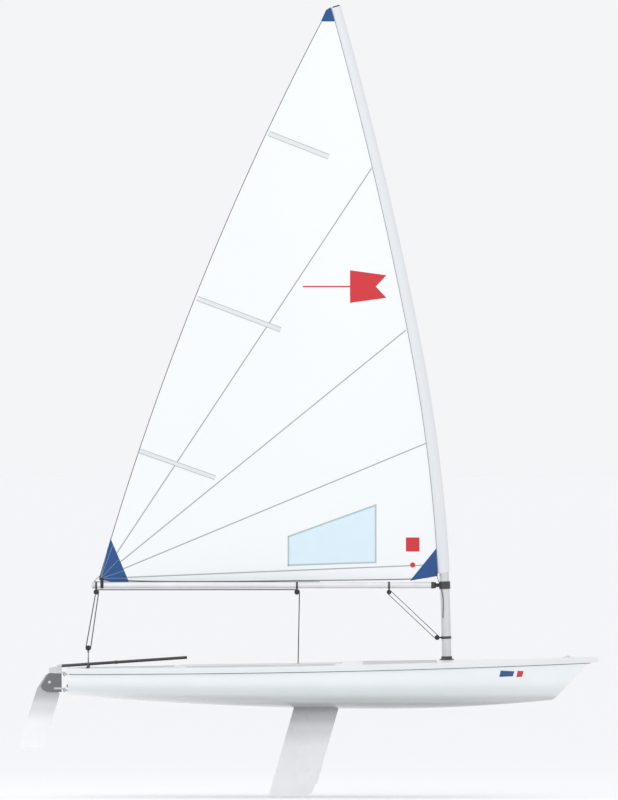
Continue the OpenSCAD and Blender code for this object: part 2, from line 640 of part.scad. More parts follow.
// a batten along the sail between two places seen from the side
module batten(a, b, w) {
    d = (b - a) / norm(b - a);
    o = [-d[1], d[0]] * w / 2;
    m = 10;
    function ring_at(t) = let (p = a + t * (b - a), l = p - o, h = p + o, c = -cloth / 2 - 0.7)
        [[l[0], belly(l[0], l[1]) + c, l[1]], [p[0], belly(p[0], p[1]) + c, p[1]],
         [h[0], belly(h[0], h[1]) + c, h[1]], [h[0], belly(h[0], h[1]) + c - 2, h[1]],
         [p[0], belly(p[0], p[1]) + c - 3, p[1]], [l[0], belly(l[0], l[1]) + c - 2, l[1]]];
    color([0.90, 0.91, 0.91]) loft([for (i = [0:m]) ring_at(i / m)]);
}
function on_leech(z, i) = [leech_x(z) + i, z];
module batten_top() {
    a = on_leech(clew[1] + 0.80 * leech_run[1], 16);
    batten(a, a + [478, -186], 43);
}
module batten_middle() {
    a = on_leech(clew[1] + 0.504 * leech_run[1], 16);
    batten(a, a + [665, -251], 40);
}
module batten_lower() {
    a = on_leech(clew[1] + 0.23 * leech_run[1], 16);
    batten(a, a + [600, -214], 37);
}

// ---------- rudder and tiller ----------
ch = blade_thickness / 2 + blade_clearance;   // inner face of a cheek
hx = pin_x - 21;                              // forward edge of the rudder head
module rudder_head() {
    side = [[hx, 32], [hx, 183], [hx - 105, 183], [hx - 165, 80], [hx - 152, 52], [hx - 118, 36],
        [hx - 80, 32]];
    color([0.41, 0.41, 0.41]) difference() {
        union() {
            for (s = [-1, 1]) translate([0, s * (ch + 2), 0]) rotate([90, 0, 0])
                linear_extrude(height = 4, center = true) polygon(side);
            translate([hx - 22, -ch - 1, 32]) cube([22, 2 * ch + 2, 151]);
        }
        translate([piv[0], 0, piv[1]]) rotate([90, 0, 0]) cylinder(r = 6.4, h = 100, center = true);
    }
}
module pintle(z) {
    difference() {
        union() {
            translate([hx + gap, -7, z]) cube([pin_x - hx - gap, 14, 11]);
            translate([pin_x, 0, z]) cylinder(r = 9, h = 11);
            translate([hx + gap, -ch - 7, z - 2]) cube([4, 2 * ch + 14, 15]);
            for (s = [-1, 1]) translate([hx - 60, s * (ch + 5.9) - 1.5, z - 2])
                cube([60 + gap + 4, 3, 15]);
            translate([pin_x, 0, z - 26]) cylinder(r = pintle_radius, h = 30);
        }
        for (s = [-1, 1]) translate([hx - 48, 0, z + 5.5]) rotate([90, 0, 0])
            cylinder(r = 2.4, h = 100, center = true);
    }
}
module pintle_upper() {
    color([0.74, 0.75, 0.76]) pintle(182.6 - 20 + 20);
}
module pintle_lower() {
    color([0.74, 0.75, 0.76]) pintle(55.6);
}
tz = 240.5;
ta = atan2(66, 982);                // rise of the tiller
function tiller_at(d) = [hx + 0.6 + d * cos(ta), 0, tz + d * sin(ta)];
module tiller_socket() {
    side = [[hx, 198.4], [hx, 236], [hx - 40, 236], [hx - 101, 225], [hx - 101, 196],
        [hx - 95, 183.4], [hx - 64, 183.4], [hx - 64, 198.4]];
    color([0.80, 0.81, 0.82]) union() {
        rotate([90, 0, 0]) linear_extrude(height = 2 * ch + 8, center = true) polygon(side);
        rod(tiller_at(-40), tiller_at(-0.5), tiller_diameter / 2);
        rod(tiller_at(-2), tiller_at(110), tiller_diameter / 2 - 2.4);
    }
}
module pivot_bolt() {
    color([0.75, 0.76, 0.77]) translate([piv[0], 0, piv[1]]) rotate([90, 0, 0]) union() {
        cylinder(r = 6, h = 2 * ch + 16, center = true);
        for (s = [-1, 1]) translate([0, 0, s * (ch + 7)]) cylinder(r = 12, h = 5, center = true);
    }
}
module tiller() {
    color([0.16, 0.16, 0.17]) difference() {
        rod(tiller_at(0), tiller_at(tiller_length), tiller_diameter / 2);
        rod(tiller_at(-5), tiller_at(tiller_length - 14), tiller_diameter / 2 - 2);
    }
}
ext = [0, tiller_diameter / 2 + 14, 0];
module tiller_universal() {
    color([0.10, 0.10, 0.11]) union() {
        rod(tiller_at(tiller_length + gap), tiller_at(tiller_length + 16), 11);
        rod(tiller_at(tiller_length + 9), tiller_at(tiller_length + 9) + ext, 6);
        rod(tiller_at(tiller_length - 12) + ext, tiller_at(tiller_length + 16) + ext, 9.5);
    }
}
module tiller_extension() {
    color([0.22, 0.22, 0.23]) rod(tiller_at(tiller_length - 850) + ext,
        tiller_at(tiller_length - 12.4) + ext, 8);
}
module extension_clip() {
    a = tiller_at(tiller_length - 560);
    b = tiller_at(tiller_length - 540);
    color([0.10, 0.10, 0.11]) difference() {
        union() {
            rod(a, b, tiller_diameter / 2 + 2.6);
            rod(a + ext, b + ext, 10.6);
            translate([a[0], tiller_diameter / 2, a[2] - 3]) cube([19, 8, 7]);
        }
        rod(tiller_at(tiller_length - 580), tiller_at(tiller_length - 520),
            tiller_diameter / 2 + 0.3);
        rod(tiller_at(tiller_length - 580) + ext, tiller_at(tiller_length - 520) + ext, 8.3);
    }
}
// outline of the blade about its pivot, in x and z
bl = blade_length / 534;
module rudder_blade() {
    low = [[68, -143.5], [17, -302 * bl], [-26, -440 * bl], [-40, -493 * bl], [-58, -515 * bl],
        [-80, -525.5 * bl], [-243, -533.5 * bl], [-236, -500 * bl], [-205, -390 * bl],
        [-130, -143.5], [-108, -78], [-102, -60], [-100, -52]];
    upper = [for (a = [116:-8:-28]) 66 * [cos(a), sin(a)]];
    color([0.93, 0.94, 0.94]) translate([piv[0], 0, piv[1]]) difference() {
        rotate([90, 0, 0]) linear_extrude(height = blade_thickness, center = true)
            polygon(concat(upper, [[80, -100]], low));
        rotate([90, 0, 0]) cylinder(r = 6.5, h = 100, center = true);
        for (s = [-1, 1]) translate([-130 - 62, s * (blade_thickness / 2 + 14), -340 * bl])
            rotate([0, 16, s * 14]) cube([90, 26, 560 * bl], center = true);
    }
}

// ---------- daggerboard ----------
bc = board_chord * cos(board_rake);
// half thickness of the board section along its chord
function foil(t) = board_thickness / 2 * min(1, 1.05 * sqrt(sin(180 * min(t * 1.9, 0.5)))
    * (t < 0.55 ? 1 : 1 - 0.86 * pow((t - 0.55) / 0.45, 1.6)));
module daggerboard() {
    x0 = -310 * board_chord / 359 - keel_depth * 0;
    side = [[0.012, 0.06, 0.13, 0.22, 0.35, 0.5, 0.62, 0.72, 0.82, 0.9, 0.96, 1]];
    ts = concat([0.004], side[0]);
    zt = trunk_top + gap;
    dz = board_depth - keel_depth;
    ax = x0 - dz * tan(board_rake);
    color([0.95, 0.96, 0.96]) union() {
        intersection() {
            translate([x0 + board_chord / 2, 0, -keel_depth]) rotate([0, board_rake, 0])
                translate([0, 0, -board_depth - 60]) linear_extrude(height = board_depth + 700)
                polygon(concat([for (t = ts) [bc / 2 - t * bc, foil(t)]],
                    [for (k = [len(ts) - 1:-1:0]) [bc / 2 - ts[k] * bc, -foil(ts[k])]]));
            rotate([90, 0, 0]) translate([0, 0, -50]) linear_extrude(height = 100) polygon([
                [ax - 20, -board_depth], [ax + 301, -board_depth], [ax + 335, -board_depth + 16],
                [ax + 358, -board_depth + 50], [ax + 371, -board_depth + 96],
                [ax + 700, -board_depth + 96], [ax + 900, zt + 9], [ax - 20, zt + 9]]);
        }
        translate([x0 + (zt + keel_depth) * tan(board_rake) - 14, -34, zt])
            cube([board_chord + 28, 68, 15]);
    }
}
module board_handle() {
    x = -310 * board_chord / 359 + (trunk_top + keel_depth) * tan(board_rake) + board_chord / 2;
    color([0.12, 0.12, 0.13]) translate([x, 0, trunk_top + 2 * gap + 15]) union() {
        for (k = [-1, 1]) {
            translate([k * 48 - 10, -8, 0]) cube([20, 16, 4]);
            translate([k * 48, 0, 2]) cylinder(r = 3.5, h = 11);
        }
        translate([-56, 0, 14]) rotate([0, 90, 0]) cylinder(r = 4, h = 112);
    }
}

hull_shape();
deck();
cockpit_tub();
mast_step_ring();
bow_eye();
gudgeon_upper();
gudgeon_lower();
fairlead_port();
fairlead_starboard();
traveller_line();
traveller_block();
ratchet_block();
hiking_strap();
strap_plate();
transom_bung();
cockpit_drain();
mast_foot();
mast_lower();
mast_upper();
mast_joint_collar();
mast_collar();
mast_head_cap();
gooseneck();
boom();
boom_cap_forward();
boom_cap_aft();
boom_end_block();
boom_middle_block();
vang_boom_block();
vang_mast_block();
clew_strap();
sail();
sail_window();
luff_sleeve();
batten_top();
batten_middle();
batten_lower();
rudder_head();
pintle_upper();
pintle_lower();
tiller_socket();
pivot_bolt();
tiller();
tiller_universal();
tiller_extension();
extension_clip();
rudder_blade();
daggerboard();
board_handle();
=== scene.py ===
"""The looks of a single-handed sailing dinghy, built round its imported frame."""

import json
import logging
import math
from dataclasses import dataclass, field
from enum import Enum

import bmesh
import bpy
import numpy as np
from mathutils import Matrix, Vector

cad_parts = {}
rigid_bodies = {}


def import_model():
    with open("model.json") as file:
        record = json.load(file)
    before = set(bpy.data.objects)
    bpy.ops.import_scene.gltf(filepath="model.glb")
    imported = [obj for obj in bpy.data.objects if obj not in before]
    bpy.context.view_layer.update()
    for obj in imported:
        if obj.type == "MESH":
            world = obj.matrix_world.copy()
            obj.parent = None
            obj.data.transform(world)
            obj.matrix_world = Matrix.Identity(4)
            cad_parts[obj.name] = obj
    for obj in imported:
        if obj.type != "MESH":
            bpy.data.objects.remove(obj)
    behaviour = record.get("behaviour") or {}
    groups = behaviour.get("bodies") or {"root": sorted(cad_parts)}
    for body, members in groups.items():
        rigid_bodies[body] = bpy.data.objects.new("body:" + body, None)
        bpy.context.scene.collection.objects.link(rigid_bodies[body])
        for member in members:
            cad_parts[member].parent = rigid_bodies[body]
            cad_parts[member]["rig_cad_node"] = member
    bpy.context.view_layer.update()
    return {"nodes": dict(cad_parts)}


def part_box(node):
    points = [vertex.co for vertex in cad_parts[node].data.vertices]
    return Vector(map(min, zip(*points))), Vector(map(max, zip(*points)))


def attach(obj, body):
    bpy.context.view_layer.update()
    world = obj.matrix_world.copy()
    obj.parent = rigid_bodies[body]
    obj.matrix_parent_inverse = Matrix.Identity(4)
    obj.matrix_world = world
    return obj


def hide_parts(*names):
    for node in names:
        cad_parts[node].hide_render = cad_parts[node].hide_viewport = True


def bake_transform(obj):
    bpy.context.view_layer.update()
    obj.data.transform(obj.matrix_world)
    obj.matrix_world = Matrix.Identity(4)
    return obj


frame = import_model()

LOG = logging.getLogger("dinghy")
Array = np.ndarray


class Body(Enum):
    """The bodies that pieces ride on."""

    HULL = "hull"
    RIG = "rig"
    RUDDER = "rudder"


class Pattern(Enum):
    """The small surface relief of a finish."""

    MOULDED = "moulded"
    GRIP = "grip"
    WEAVE = "weave"
    BRAID = "braid"
    BRUSHED = "brushed"
    CAST = "cast"
    FILM = "film"


@dataclass(frozen=True)
class Finish:
    """One material: its slot in the record, colour and relief."""

    name: str
    slot: str
    colour: tuple[float, float, float]
    pattern: Pattern
    roughness: float = 0.5
    metallic: float = 0.0
    coat: float = 0.0
    sheen: float = 0.0
    relief: float = 0.15
    scale: float = 60.0
    variation: float = 0.04
    alpha: float = 1.0
    edge_wear: float = 0.0


HULL_GLOSS = Finish("hull_gloss", "hull_gelcoat", (0.85, 0.89, 0.90), Pattern.MOULDED, 0.22, coat=0.5,
                    relief=0.03, scale=9, variation=0.012)
DECK_GLOSS = Finish("deck_gloss", "deck_gelcoat", (0.78, 0.80, 0.81), Pattern.MOULDED, 0.30, coat=0.3,
                    relief=0.04, scale=14, variation=0.012)
DECK_GRIP = Finish("deck_grip", "deck_gelcoat", (0.56, 0.58, 0.59), Pattern.GRIP, 0.62, relief=0.55,
                   scale=420)
BLADE_GLOSS = Finish("blade_gloss", "blade_gelcoat", (0.90, 0.91, 0.92), Pattern.MOULDED, 0.25, coat=0.4,
                     relief=0.03, scale=10, variation=0.015)
SAIL_CLOTH = Finish("sail_cloth", "sail_cloth", (0.86, 0.88, 0.89), Pattern.WEAVE, 0.62, sheen=0.25,
                    relief=0.12, scale=520, variation=0.02)
SAIL_BLUE = Finish("sail_blue", "sail_cloth", (0.004, 0.066, 0.232), Pattern.WEAVE, 0.58, sheen=0.25,
                   relief=0.16, scale=520)
SAIL_RED = Finish("sail_red", "sail_cloth", (0.60, 0.019, 0.027), Pattern.WEAVE, 0.55, sheen=0.2,
                  relief=0.12, scale=520)
LEECH_TAPE = Finish("leech_tape", "sail_cloth", (0.07, 0.075, 0.08), Pattern.WEAVE, 0.6, sheen=0.2,
                    relief=0.25, scale=380)
SAIL_TAPE = Finish("sail_tape", "sail_cloth", (0.30, 0.31, 0.32), Pattern.WEAVE, 0.6, sheen=0.2,
                   relief=0.25, scale=380)
SEAM_TAPE = Finish("seam_tape", "sail_cloth", (0.36, 0.38, 0.40), Pattern.WEAVE, 0.6, relief=0.3, scale=420)
BATTEN_CLOTH = Finish("batten_cloth", "batten_cloth", (0.72, 0.74, 0.75), Pattern.WEAVE, 0.6, sheen=0.2,
                      relief=0.25, scale=420)
SLEEVE_CLOTH = Finish("sleeve_cloth", "sail_cloth", (0.72, 0.74, 0.76), Pattern.WEAVE, 0.6, sheen=0.25,
                      relief=0.18, scale=450, variation=0.03)
WINDOW_FILM = Finish("window_film", "window_film", (0.74, 0.90, 0.985), Pattern.FILM, 0.12, coat=0.6,
                     relief=0.05, scale=6, variation=0.01, alpha=0.66)
WINDOW_TAPE = Finish("window_tape", "sail_cloth", (0.42, 0.52, 0.50), Pattern.WEAVE, 0.6, relief=0.3,
                     scale=420)
MAST_ALLOY = Finish("mast_alloy", "mast_alloy", (0.66, 0.67, 0.68), Pattern.BRUSHED, 0.34, 0.75,
                    relief=0.10, scale=240, edge_wear=0.2)
BOOM_ALLOY = Finish("boom_alloy", "boom_alloy", (0.78, 0.79, 0.80), Pattern.BRUSHED, 0.36, 0.45,
                    relief=0.10, scale=240)
BLACK_ALLOY = Finish("black_alloy", "black_alloy", (0.022, 0.022, 0.024), Pattern.BRUSHED, 0.35, 0.35,
                     relief=0.10, scale=220, edge_wear=0.4)
DARK_ALLOY = Finish("dark_grey_alloy", "dark_grey_alloy", (0.125, 0.125, 0.128), Pattern.CAST, 0.42, 0.4,
                    relief=0.14, scale=160, edge_wear=0.5)
GREY_CASTING = Finish("grey_casting", "grey_fitting", (0.60, 0.61, 0.62), Pattern.CAST, 0.40, 0.45,
                      relief=0.18, scale=170, edge_wear=0.3)
STEEL = Finish("stainless", "steel", (0.62, 0.63, 0.64), Pattern.BRUSHED, 0.24, 0.95, relief=0.08,
               scale=300)
BLACK_PLASTIC = Finish("black_plastic", "black_plastic", (0.012, 0.012, 0.013), Pattern.CAST, 0.42,
                       relief=0.16, scale=320, edge_wear=0.35)
RUBBER = Finish("rubber", "rubber_joint", (0.010, 0.010, 0.011), Pattern.CAST, 0.7, relief=0.3, scale=260)
GRIP_FOAM = Finish("grip_foam", "rubber_joint", (0.020, 0.020, 0.022), Pattern.GRIP, 0.8, relief=0.5,
                   scale=700)
DARK_ROPE = Finish("dark_rope", "rope", (0.020, 0.021, 0.025), Pattern.BRAID, 0.7, sheen=0.3, relief=0.5,
                   scale=150, variation=0.35)
BLACK_WEBBING = Finish("black_webbing", "webbing", (0.014, 0.015, 0.018), Pattern.WEAVE, 0.75, sheen=0.4,
                       relief=0.5, scale=300)
MARK_BLUE = Finish("mark_blue", "hull_gelcoat", (0.004, 0.066, 0.232), Pattern.FILM, 0.25, coat=0.4,
                   relief=0.02, scale=20)
MARK_RED = Finish("mark_red", "hull_gelcoat", (0.60, 0.019, 0.027), Pattern.FILM, 0.25, coat=0.4,
                  relief=0.02, scale=20)
GASKET = Finish("gasket", "rubber_joint", (0.05, 0.05, 0.055), Pattern.CAST, 0.65, relief=0.2, scale=200)


@dataclass
class Workshop:
    """Makes each finish's material once and puts it on pieces."""

    made: dict[str, bpy.types.Material] = field(default_factory=dict)

    def material(self, finish: Finish) -> bpy.types.Material:
        """The material of a finish.

        Args:
            finish: the finish wanted.

        Returns:
            The material, made on first use.
        """
        if finish.name not in self.made:
            self.made[finish.name] = self._build(finish)
        return self.made[finish.name]

    def _build(self, finish: Finish) -> bpy.types.Material:
        """Builds a finish's node tree: colour variation, relief and gloss.

        Args:
            finish: the finish to build.

        Returns:
            The new material.
        """
        mat = bpy.data.materials.new(finish.name)
        mat.use_nodes = True
        tree = mat.node_tree
        shader = tree.nodes["Principled BSDF"]
        shader.inputs["Roughness"].default_value = finish.roughness
        shader.inputs["Metallic"].default_value = finish.metallic
        shader.inputs["Coat Weight"].default_value = finish.coat
        shader.inputs["Coat Roughness"].default_value = 0.12
        shader.inputs["Sheen Weight"].default_value = finish.sheen
        shader.inputs["Sheen Roughness"].default_value = 0.5
        shader.inputs["Alpha"].default_value = finish.alpha
        place = tree.nodes.new("ShaderNodeTexCoord")
        spot = place.outputs["UV" if finish.pattern in (Pattern.WEAVE, Pattern.BRAID) else "Object"]
        height = self._relief(tree, finish, spot)
        bump = tree.nodes.new("ShaderNodeBump")
        bump.inputs["Strength"].default_value = finish.relief
        bump.inputs["Distance"].default_value = 0.0006
        tree.links.new(height, bump.inputs["Height"])
        tree.links.new(bump.outputs["Normal"], shader.inputs["Normal"])
        colour = self._colour(tree, finish, place.outputs["Object"], height)
        tree.links.new(colour, shader.inputs["Base Color"])
        rough = self._noise(tree, place.outputs["Object"], finish.scale * 0.11 + 2.0)
        spread = tree.nodes.new("ShaderNodeMapRange")
        spread.inputs["To Min"].default_value = max(finish.roughness - 0.06, 0.03)
        spread.inputs["To Max"].default_value = min(finish.roughness + 0.09, 1.0)
        tree.links.new(rough, spread.inputs["Value"])
        tree.links.new(spread.outputs["Result"], shader.inputs["Roughness"])
        return mat

    @staticmethod
    def _noise(tree: bpy.types.NodeTree, spot: bpy.types.NodeSocket, scale: float) -> bpy.types.NodeSocket:
        """A noise value read at a place.

        Args:
            tree: the node tree.
            spot: the coordinate.
            scale: cells to the metre.

        Returns:
            The noise's value.
        """
        noise = tree.nodes.new("ShaderNodeTexNoise")
        noise.inputs["Scale"].default_value = scale
        noise.inputs["Detail"].default_value = 4.0
        tree.links.new(spot, noise.inputs["Vector"])
        return noise.outputs["Fac"]

    def _relief(self, tree: bpy.types.NodeTree, finish: Finish,
                spot: bpy.types.NodeSocket) -> bpy.types.NodeSocket:
        """The height that a finish's bump reads.

        Args:
            tree: the node tree.
            finish: the finish.
            spot: the coordinate that the pattern follows.

        Returns:
            The height value.
        """
        if finish.pattern in (Pattern.WEAVE, Pattern.BRAID):
            return self._crossed_threads(tree, finish, spot)
        if finish.pattern is Pattern.GRIP:
            cells = tree.nodes.new("ShaderNodeTexVoronoi")
            cells.inputs["Scale"].default_value = finish.scale
            tree.links.new(spot, cells.inputs["Vector"])
            return cells.outputs["Distance"]
        if finish.pattern is Pattern.BRUSHED:
            stretch = tree.nodes.new("ShaderNodeMapping")
            stretch.inputs["Scale"].default_value = (0.03, 1.0, 0.03)
            tree.links.new(spot, stretch.inputs["Vector"])
            return self._noise(tree, stretch.outputs["Vector"], finish.scale * 4)
        return self._noise(tree, spot, finish.scale)

    @staticmethod
    def _crossed_threads(tree: bpy.types.NodeTree, finish: Finish,
                         spot: bpy.types.NodeSocket) -> bpy.types.NodeSocket:
        """Two sets of bands across each other: a plain weave, or a braid when turned by 45 degrees.

        Args:
            tree: the node tree.
            finish: the finish.
            spot: the piece's UV coordinate, in metres.

        Returns:
            The height value.
        """
        turn = tree.nodes.new("ShaderNodeMapping")
        turn.inputs["Rotation"].default_value = (0, 0, math.pi / 4 if finish.pattern is Pattern.BRAID else 0)
        tree.links.new(spot, turn.inputs["Vector"])
        bands = []
        for direction in ("X", "Y"):
            wave = tree.nodes.new("ShaderNodeTexWave")
            wave.bands_direction = direction
            wave.inputs["Scale"].default_value = finish.scale / 6
            tree.links.new(turn.outputs["Vector"], wave.inputs["Vector"])
            bands.append(wave.outputs["Fac"])
        mix = tree.nodes.new("ShaderNodeMath")
        mix.operation = "MAXIMUM"
        tree.links.new(bands[0], mix.inputs[0])
        tree.links.new(bands[1], mix.inputs[1])
        return mix.outputs[0]

    def _colour(self, tree: bpy.types.NodeTree, finish: Finish, spot: bpy.types.NodeSocket,
                height: bpy.types.NodeSocket) -> bpy.types.NodeSocket:
        """The base colour with soft random variation; on woven and braided finishes also darker in the
        threads' hollows, a painted shade; paler on worn edges.

        Args:
            tree: the node tree.
            finish: the finish.
            spot: the Object coordinate.
            height: the relief's height.

        Returns:
            The colour.
        """
        low = tuple(c * (1 - finish.variation) for c in finish.colour)
        high = tuple(min(c * (1 + finish.variation), 1.0) for c in finish.colour)
        ramp = tree.nodes.new("ShaderNodeValToRGB")
        ramp.color_ramp.elements[0].position = 0.35
        ramp.color_ramp.elements[0].color = (*low, 1)
        ramp.color_ramp.elements[1].position = 0.65
        ramp.color_ramp.elements[1].color = (*high, 1)
        # Painted shade: on woven and braided finishes the colour darkens with the threads' height, into the
        # hollows between them; the noise adds random tone.
        if finish.pattern in (Pattern.WEAVE, Pattern.BRAID):
            blend = tree.nodes.new("ShaderNodeMath")
            blend.operation = "MULTIPLY_ADD"
            tree.links.new(self._noise(tree, spot, 3.0), blend.inputs[0])
            blend.inputs[1].default_value = 0.7
            tree.links.new(height, blend.inputs[2])
            blend.use_clamp = True
            tree.links.new(blend.outputs[0], ramp.inputs["Fac"])
        else:
            tree.links.new(self._noise(tree, spot, 4.0), ramp.inputs["Fac"])
        if finish.edge_wear <= 0:
            return ramp.outputs["Color"]
        edge = tree.nodes.new("ShaderNodeNewGeometry")
        mask = tree.nodes.new("ShaderNodeMapRange")
        mask.inputs["From Min"].default_value = 0.53
        mask.inputs["From Max"].default_value = 0.62
        mask.inputs["To Max"].default_value = finish.edge_wear * 0.5
        tree.links.new(edge.outputs["Pointiness"], mask.inputs["Value"])
        wear = tree.nodes.new("ShaderNodeMix")
        wear.data_type = "RGBA"
        tree.links.new(mask.outputs["Result"], wear.inputs["Factor"])
        tree.links.new(ramp.outputs["Color"], wear.inputs["A"])
        wear.inputs["B"].default_value = tuple(min(c + 0.22, 1.0) for c in finish.colour) + (1,)
        return wear.outputs["Result"]

    def shade_by_height(self, finish: Finish, name: str, stops: list[tuple[float, float]],
                        span: tuple[float, float]) -> bpy.types.Material:
        """A copy of a finish whose colour is darkened by steps of height: painted shade.

        Args:
            finish: the finish to start from.
            name: the new material's name.
            stops: pairs of share of the span and brightness.
            span: the lowest and highest place along Z, in metres.

        Returns:
            The new material.
        """
        mat = self._build(finish)
        mat.name = name
        tree = mat.node_tree
        shader = tree.nodes["Principled BSDF"]
        source = shader.inputs["Base Color"].links[0].from_socket
        place = tree.nodes.new("ShaderNodeTexCoord")
        split = tree.nodes.new("ShaderNodeSeparateXYZ")
        tree.links.new(place.outputs["Object"], split.inputs["Vector"])
        share = tree.nodes.new("ShaderNodeMapRange")
        share.inputs["From Min"].default_value = span[0]
        share.inputs["From Max"].default_value = span[1]
        tree.links.new(split.outputs["Z"], share.inputs["Value"])
        # Painted shade: the ramp multiplies the colour by a brightness that changes with height.
        ramp = tree.nodes.new("ShaderNodeValToRGB")
        ramp.color_ramp.interpolation = "EASE"
        for i, (at, value) in enumerate(stops):
            stop = ramp.color_ramp.elements[i] if i < 2 else ramp.color_ramp.elements.new(at)
            stop.position = at
            stop.color = (value, value, value, 1)
        tree.links.new(share.outputs["Result"], ramp.inputs["Fac"])
        mix = tree.nodes.new("ShaderNodeMix")
        mix.data_type = "RGBA"
        mix.blend_type = "MULTIPLY"
        mix.inputs["Factor"].default_value = 1.0
        tree.links.new(source, mix.inputs["A"])
        tree.links.new(ramp.outputs["Color"], mix.inputs["B"])
        tree.links.new(mix.outputs["Result"], shader.inputs["Base Color"])
        return mat

    def dress(self, piece: bpy.types.Object, finish: Finish, mat: bpy.types.Material | None = None) -> None:
        """Puts a finish on a piece.

        Args:
            piece: the piece.
            finish: its finish.
            mat: a special material made from the finish, if any.
        """
        piece.data.materials.clear()
        piece.data.materials.append(mat or self.material(finish))


SHOP = Workshop()


# ---------- meshes from arrays ----------
def quads_of(rows: int, cols: int, wrap: bool) -> tuple[Array, Array]:
    """The faces of a grid, numbered row by row.

    Args:
        rows: points along the first way.
        cols: points along the second way.
        wrap: whether the second way closes on itself.

    Returns:
        The faces, and each corner's row and column, for the UV map.
    """
    i, j = np.meshgrid(np.arange(rows - 1), np.arange(cols if wrap else cols - 1), indexing="ij")
    i, j = i.ravel(), j.ravel()
    corner = np.stack([np.stack([i, j], 1), np.stack([i + 1, j], 1), np.stack([i + 1, j + 1], 1),
                       np.stack([i, j + 1], 1)], 1)
    return corner[..., 0] * cols + corner[..., 1] % cols, corner.astype(float)


def make_mesh(name: str, points: Array, faces: list[Array], uvs: list[Array] | None = None,
              smooth: bool = True) -> bpy.types.Object:
    """An object from arrays of points and faces.

    Args:
        name: the piece's name.
        points: one row of x, y, z to a point, in metres.
        faces: arrays of faces, each with its own number of corners.
        uvs: a UV for each corner of each face, or None.
        smooth: whether the faces are shaded smooth.

    Returns:
        The new object, linked to the scene.
    """
    mesh = bpy.data.meshes.new(name)
    loops = np.concatenate([f.ravel() for f in faces]).astype(np.int32)
    totals = np.concatenate([np.full(len(f), f.shape[1]) for f in faces]).astype(np.int32)
    mesh.vertices.add(len(points))
    mesh.vertices.foreach_set("co", np.ascontiguousarray(points, np.float32).ravel())
    mesh.loops.add(len(loops))
    mesh.loops.foreach_set("vertex_index", loops)
    mesh.polygons.add(len(totals))
    mesh.polygons.foreach_set("loop_start", np.concatenate([[0], np.cumsum(totals)[:-1]]).astype(np.int32))
    mesh.polygons.foreach_set("loop_total", totals)
    mesh.update(calc_edges=True)
    mesh.validate()
    if uvs is not None:
        layer = mesh.uv_layers.new(name="UVMap")
        flat = np.concatenate([u.reshape(-1, 2) for u in uvs]).astype(np.float32)
        layer.data.foreach_set("uv", flat.ravel())
    mesh.polygons.foreach_set("use_smooth", np.full(len(totals), smooth))
    thing = bpy.data.objects.new(name, mesh)
    bpy.context.scene.collection.objects.link(thing)
    return thing


def loft(name: str, rings: Array, span: tuple[float, float] = (1.0, 1.0), capped: bool = True,
         sharp: float | None = 40.0) -> bpy.types.Object:
    """A skin over closed rings, with flat ends.

    Args:
        name: the piece's name.
        rings: an array of rings by points by x, y, z; the rings close on themselves.
        span: the UV map's length along and round, in metres.
        capped: whether the ends are closed.
        sharp: the angle in degrees above which an edge stays sharp, or None.

    Returns:
        The new object.
    """
    rows, cols = rings.shape[:2]
    quads, corner = quads_of(rows, cols, True)
    faces = [quads]
    uvs = [corner / [rows - 1, cols] * span]
    if capped:
        ends = np.stack([np.arange(cols)[::-1], (rows - 1) * cols + np.arange(cols)])
        faces.append(ends)
        uvs.append(np.zeros((2, cols, 2)))
    piece = make_mesh(name, rings.reshape(-1, 3), faces, uvs)
    face_outwards(piece)
    if sharp is not None:
        piece.data.set_sharp_from_angle(angle=math.radians(sharp))
    return piece


def face_outwards(piece: bpy.types.Object) -> None:
    """Turns a closed mesh's faces outwards, by the sign of its volume.

    Args:
        piece: the piece, a closed mesh.
    """
    work = bmesh.new()
    work.from_mesh(piece.data)
    if work.calc_volume(signed=True) < 0:
        bmesh.ops.reverse_faces(work, faces=work.faces)
        work.to_mesh(piece.data)
    work.free()


def sweep(name: str, path: Array, radius: float | Array, sides: int = 12,
          up: tuple[float, float, float] = (0.0, 1.0, 0.0)) -> bpy.types.Object:
    """A round bar along a path: circles square to the path, turned from a fixed side direction.

    Args:
        name: the piece's name.
        path: points by x, y, z, in metres.
        radius: the bar's radius, one value or one to a point.
        sides: points round a circle.
        up: a direction that is never along the path.

    Returns:
        The new object.
    """
    path = np.asarray(path, float)
    along = np.gradient(path, axis=0)
    along /= np.linalg.norm(along, axis=1, keepdims=True)
    side = np.cross(along, np.asarray(up, float))
    side /= np.linalg.norm(side, axis=1, keepdims=True)
    other = np.cross(along, side)
    turn = np.linspace(0, 2 * np.pi, sides, endpoint=False)
    r = np.broadcast_to(np.asarray(radius, float), len(path))[:, None, None]
    rings = path[:, None] + r * (np.cos(turn)[None, :, None] * side[:, None]
                                 + np.sin(turn)[None, :, None] * other[:, None])
    length = float(np.linalg.norm(np.diff(path, axis=0), axis=1).sum())
    return loft(name, rings, (length, 2 * np.pi * float(np.max(radius))))


def smooth_path(points: list[tuple[float, float, float]], count: int) -> Array:
    """Points along a curve through a few given ones, by Catmull-Rom blending.

    Args:
        points: the points to pass through.
        count: how many points to return.

    Returns:
        The curve's points.
    """
    p = np.asarray(points, float)
    p = np.vstack([2 * p[0] - p[1], p, 2 * p[-1] - p[-2]])
    t = np.linspace(0, len(p) - 3 - 1e-9, count)
    k = t.astype(int)
    u = (t - k)[:, None]
    a, b, c, d = p[k], p[k + 1], p[k + 2], p[k + 3]
    return 0.5 * (2 * b + (c - a) * u + (2 * a - 5 * b + 4 * c - d) * u**2 + (3 * b - a - 3 * c + d) * u**3)


def straight(a: tuple[float, float, float], b: tuple[float, float, float], count: int = 8) -> Array:
    """Evenly spaced points from a to b."""
    return np.linspace(a, b, count)


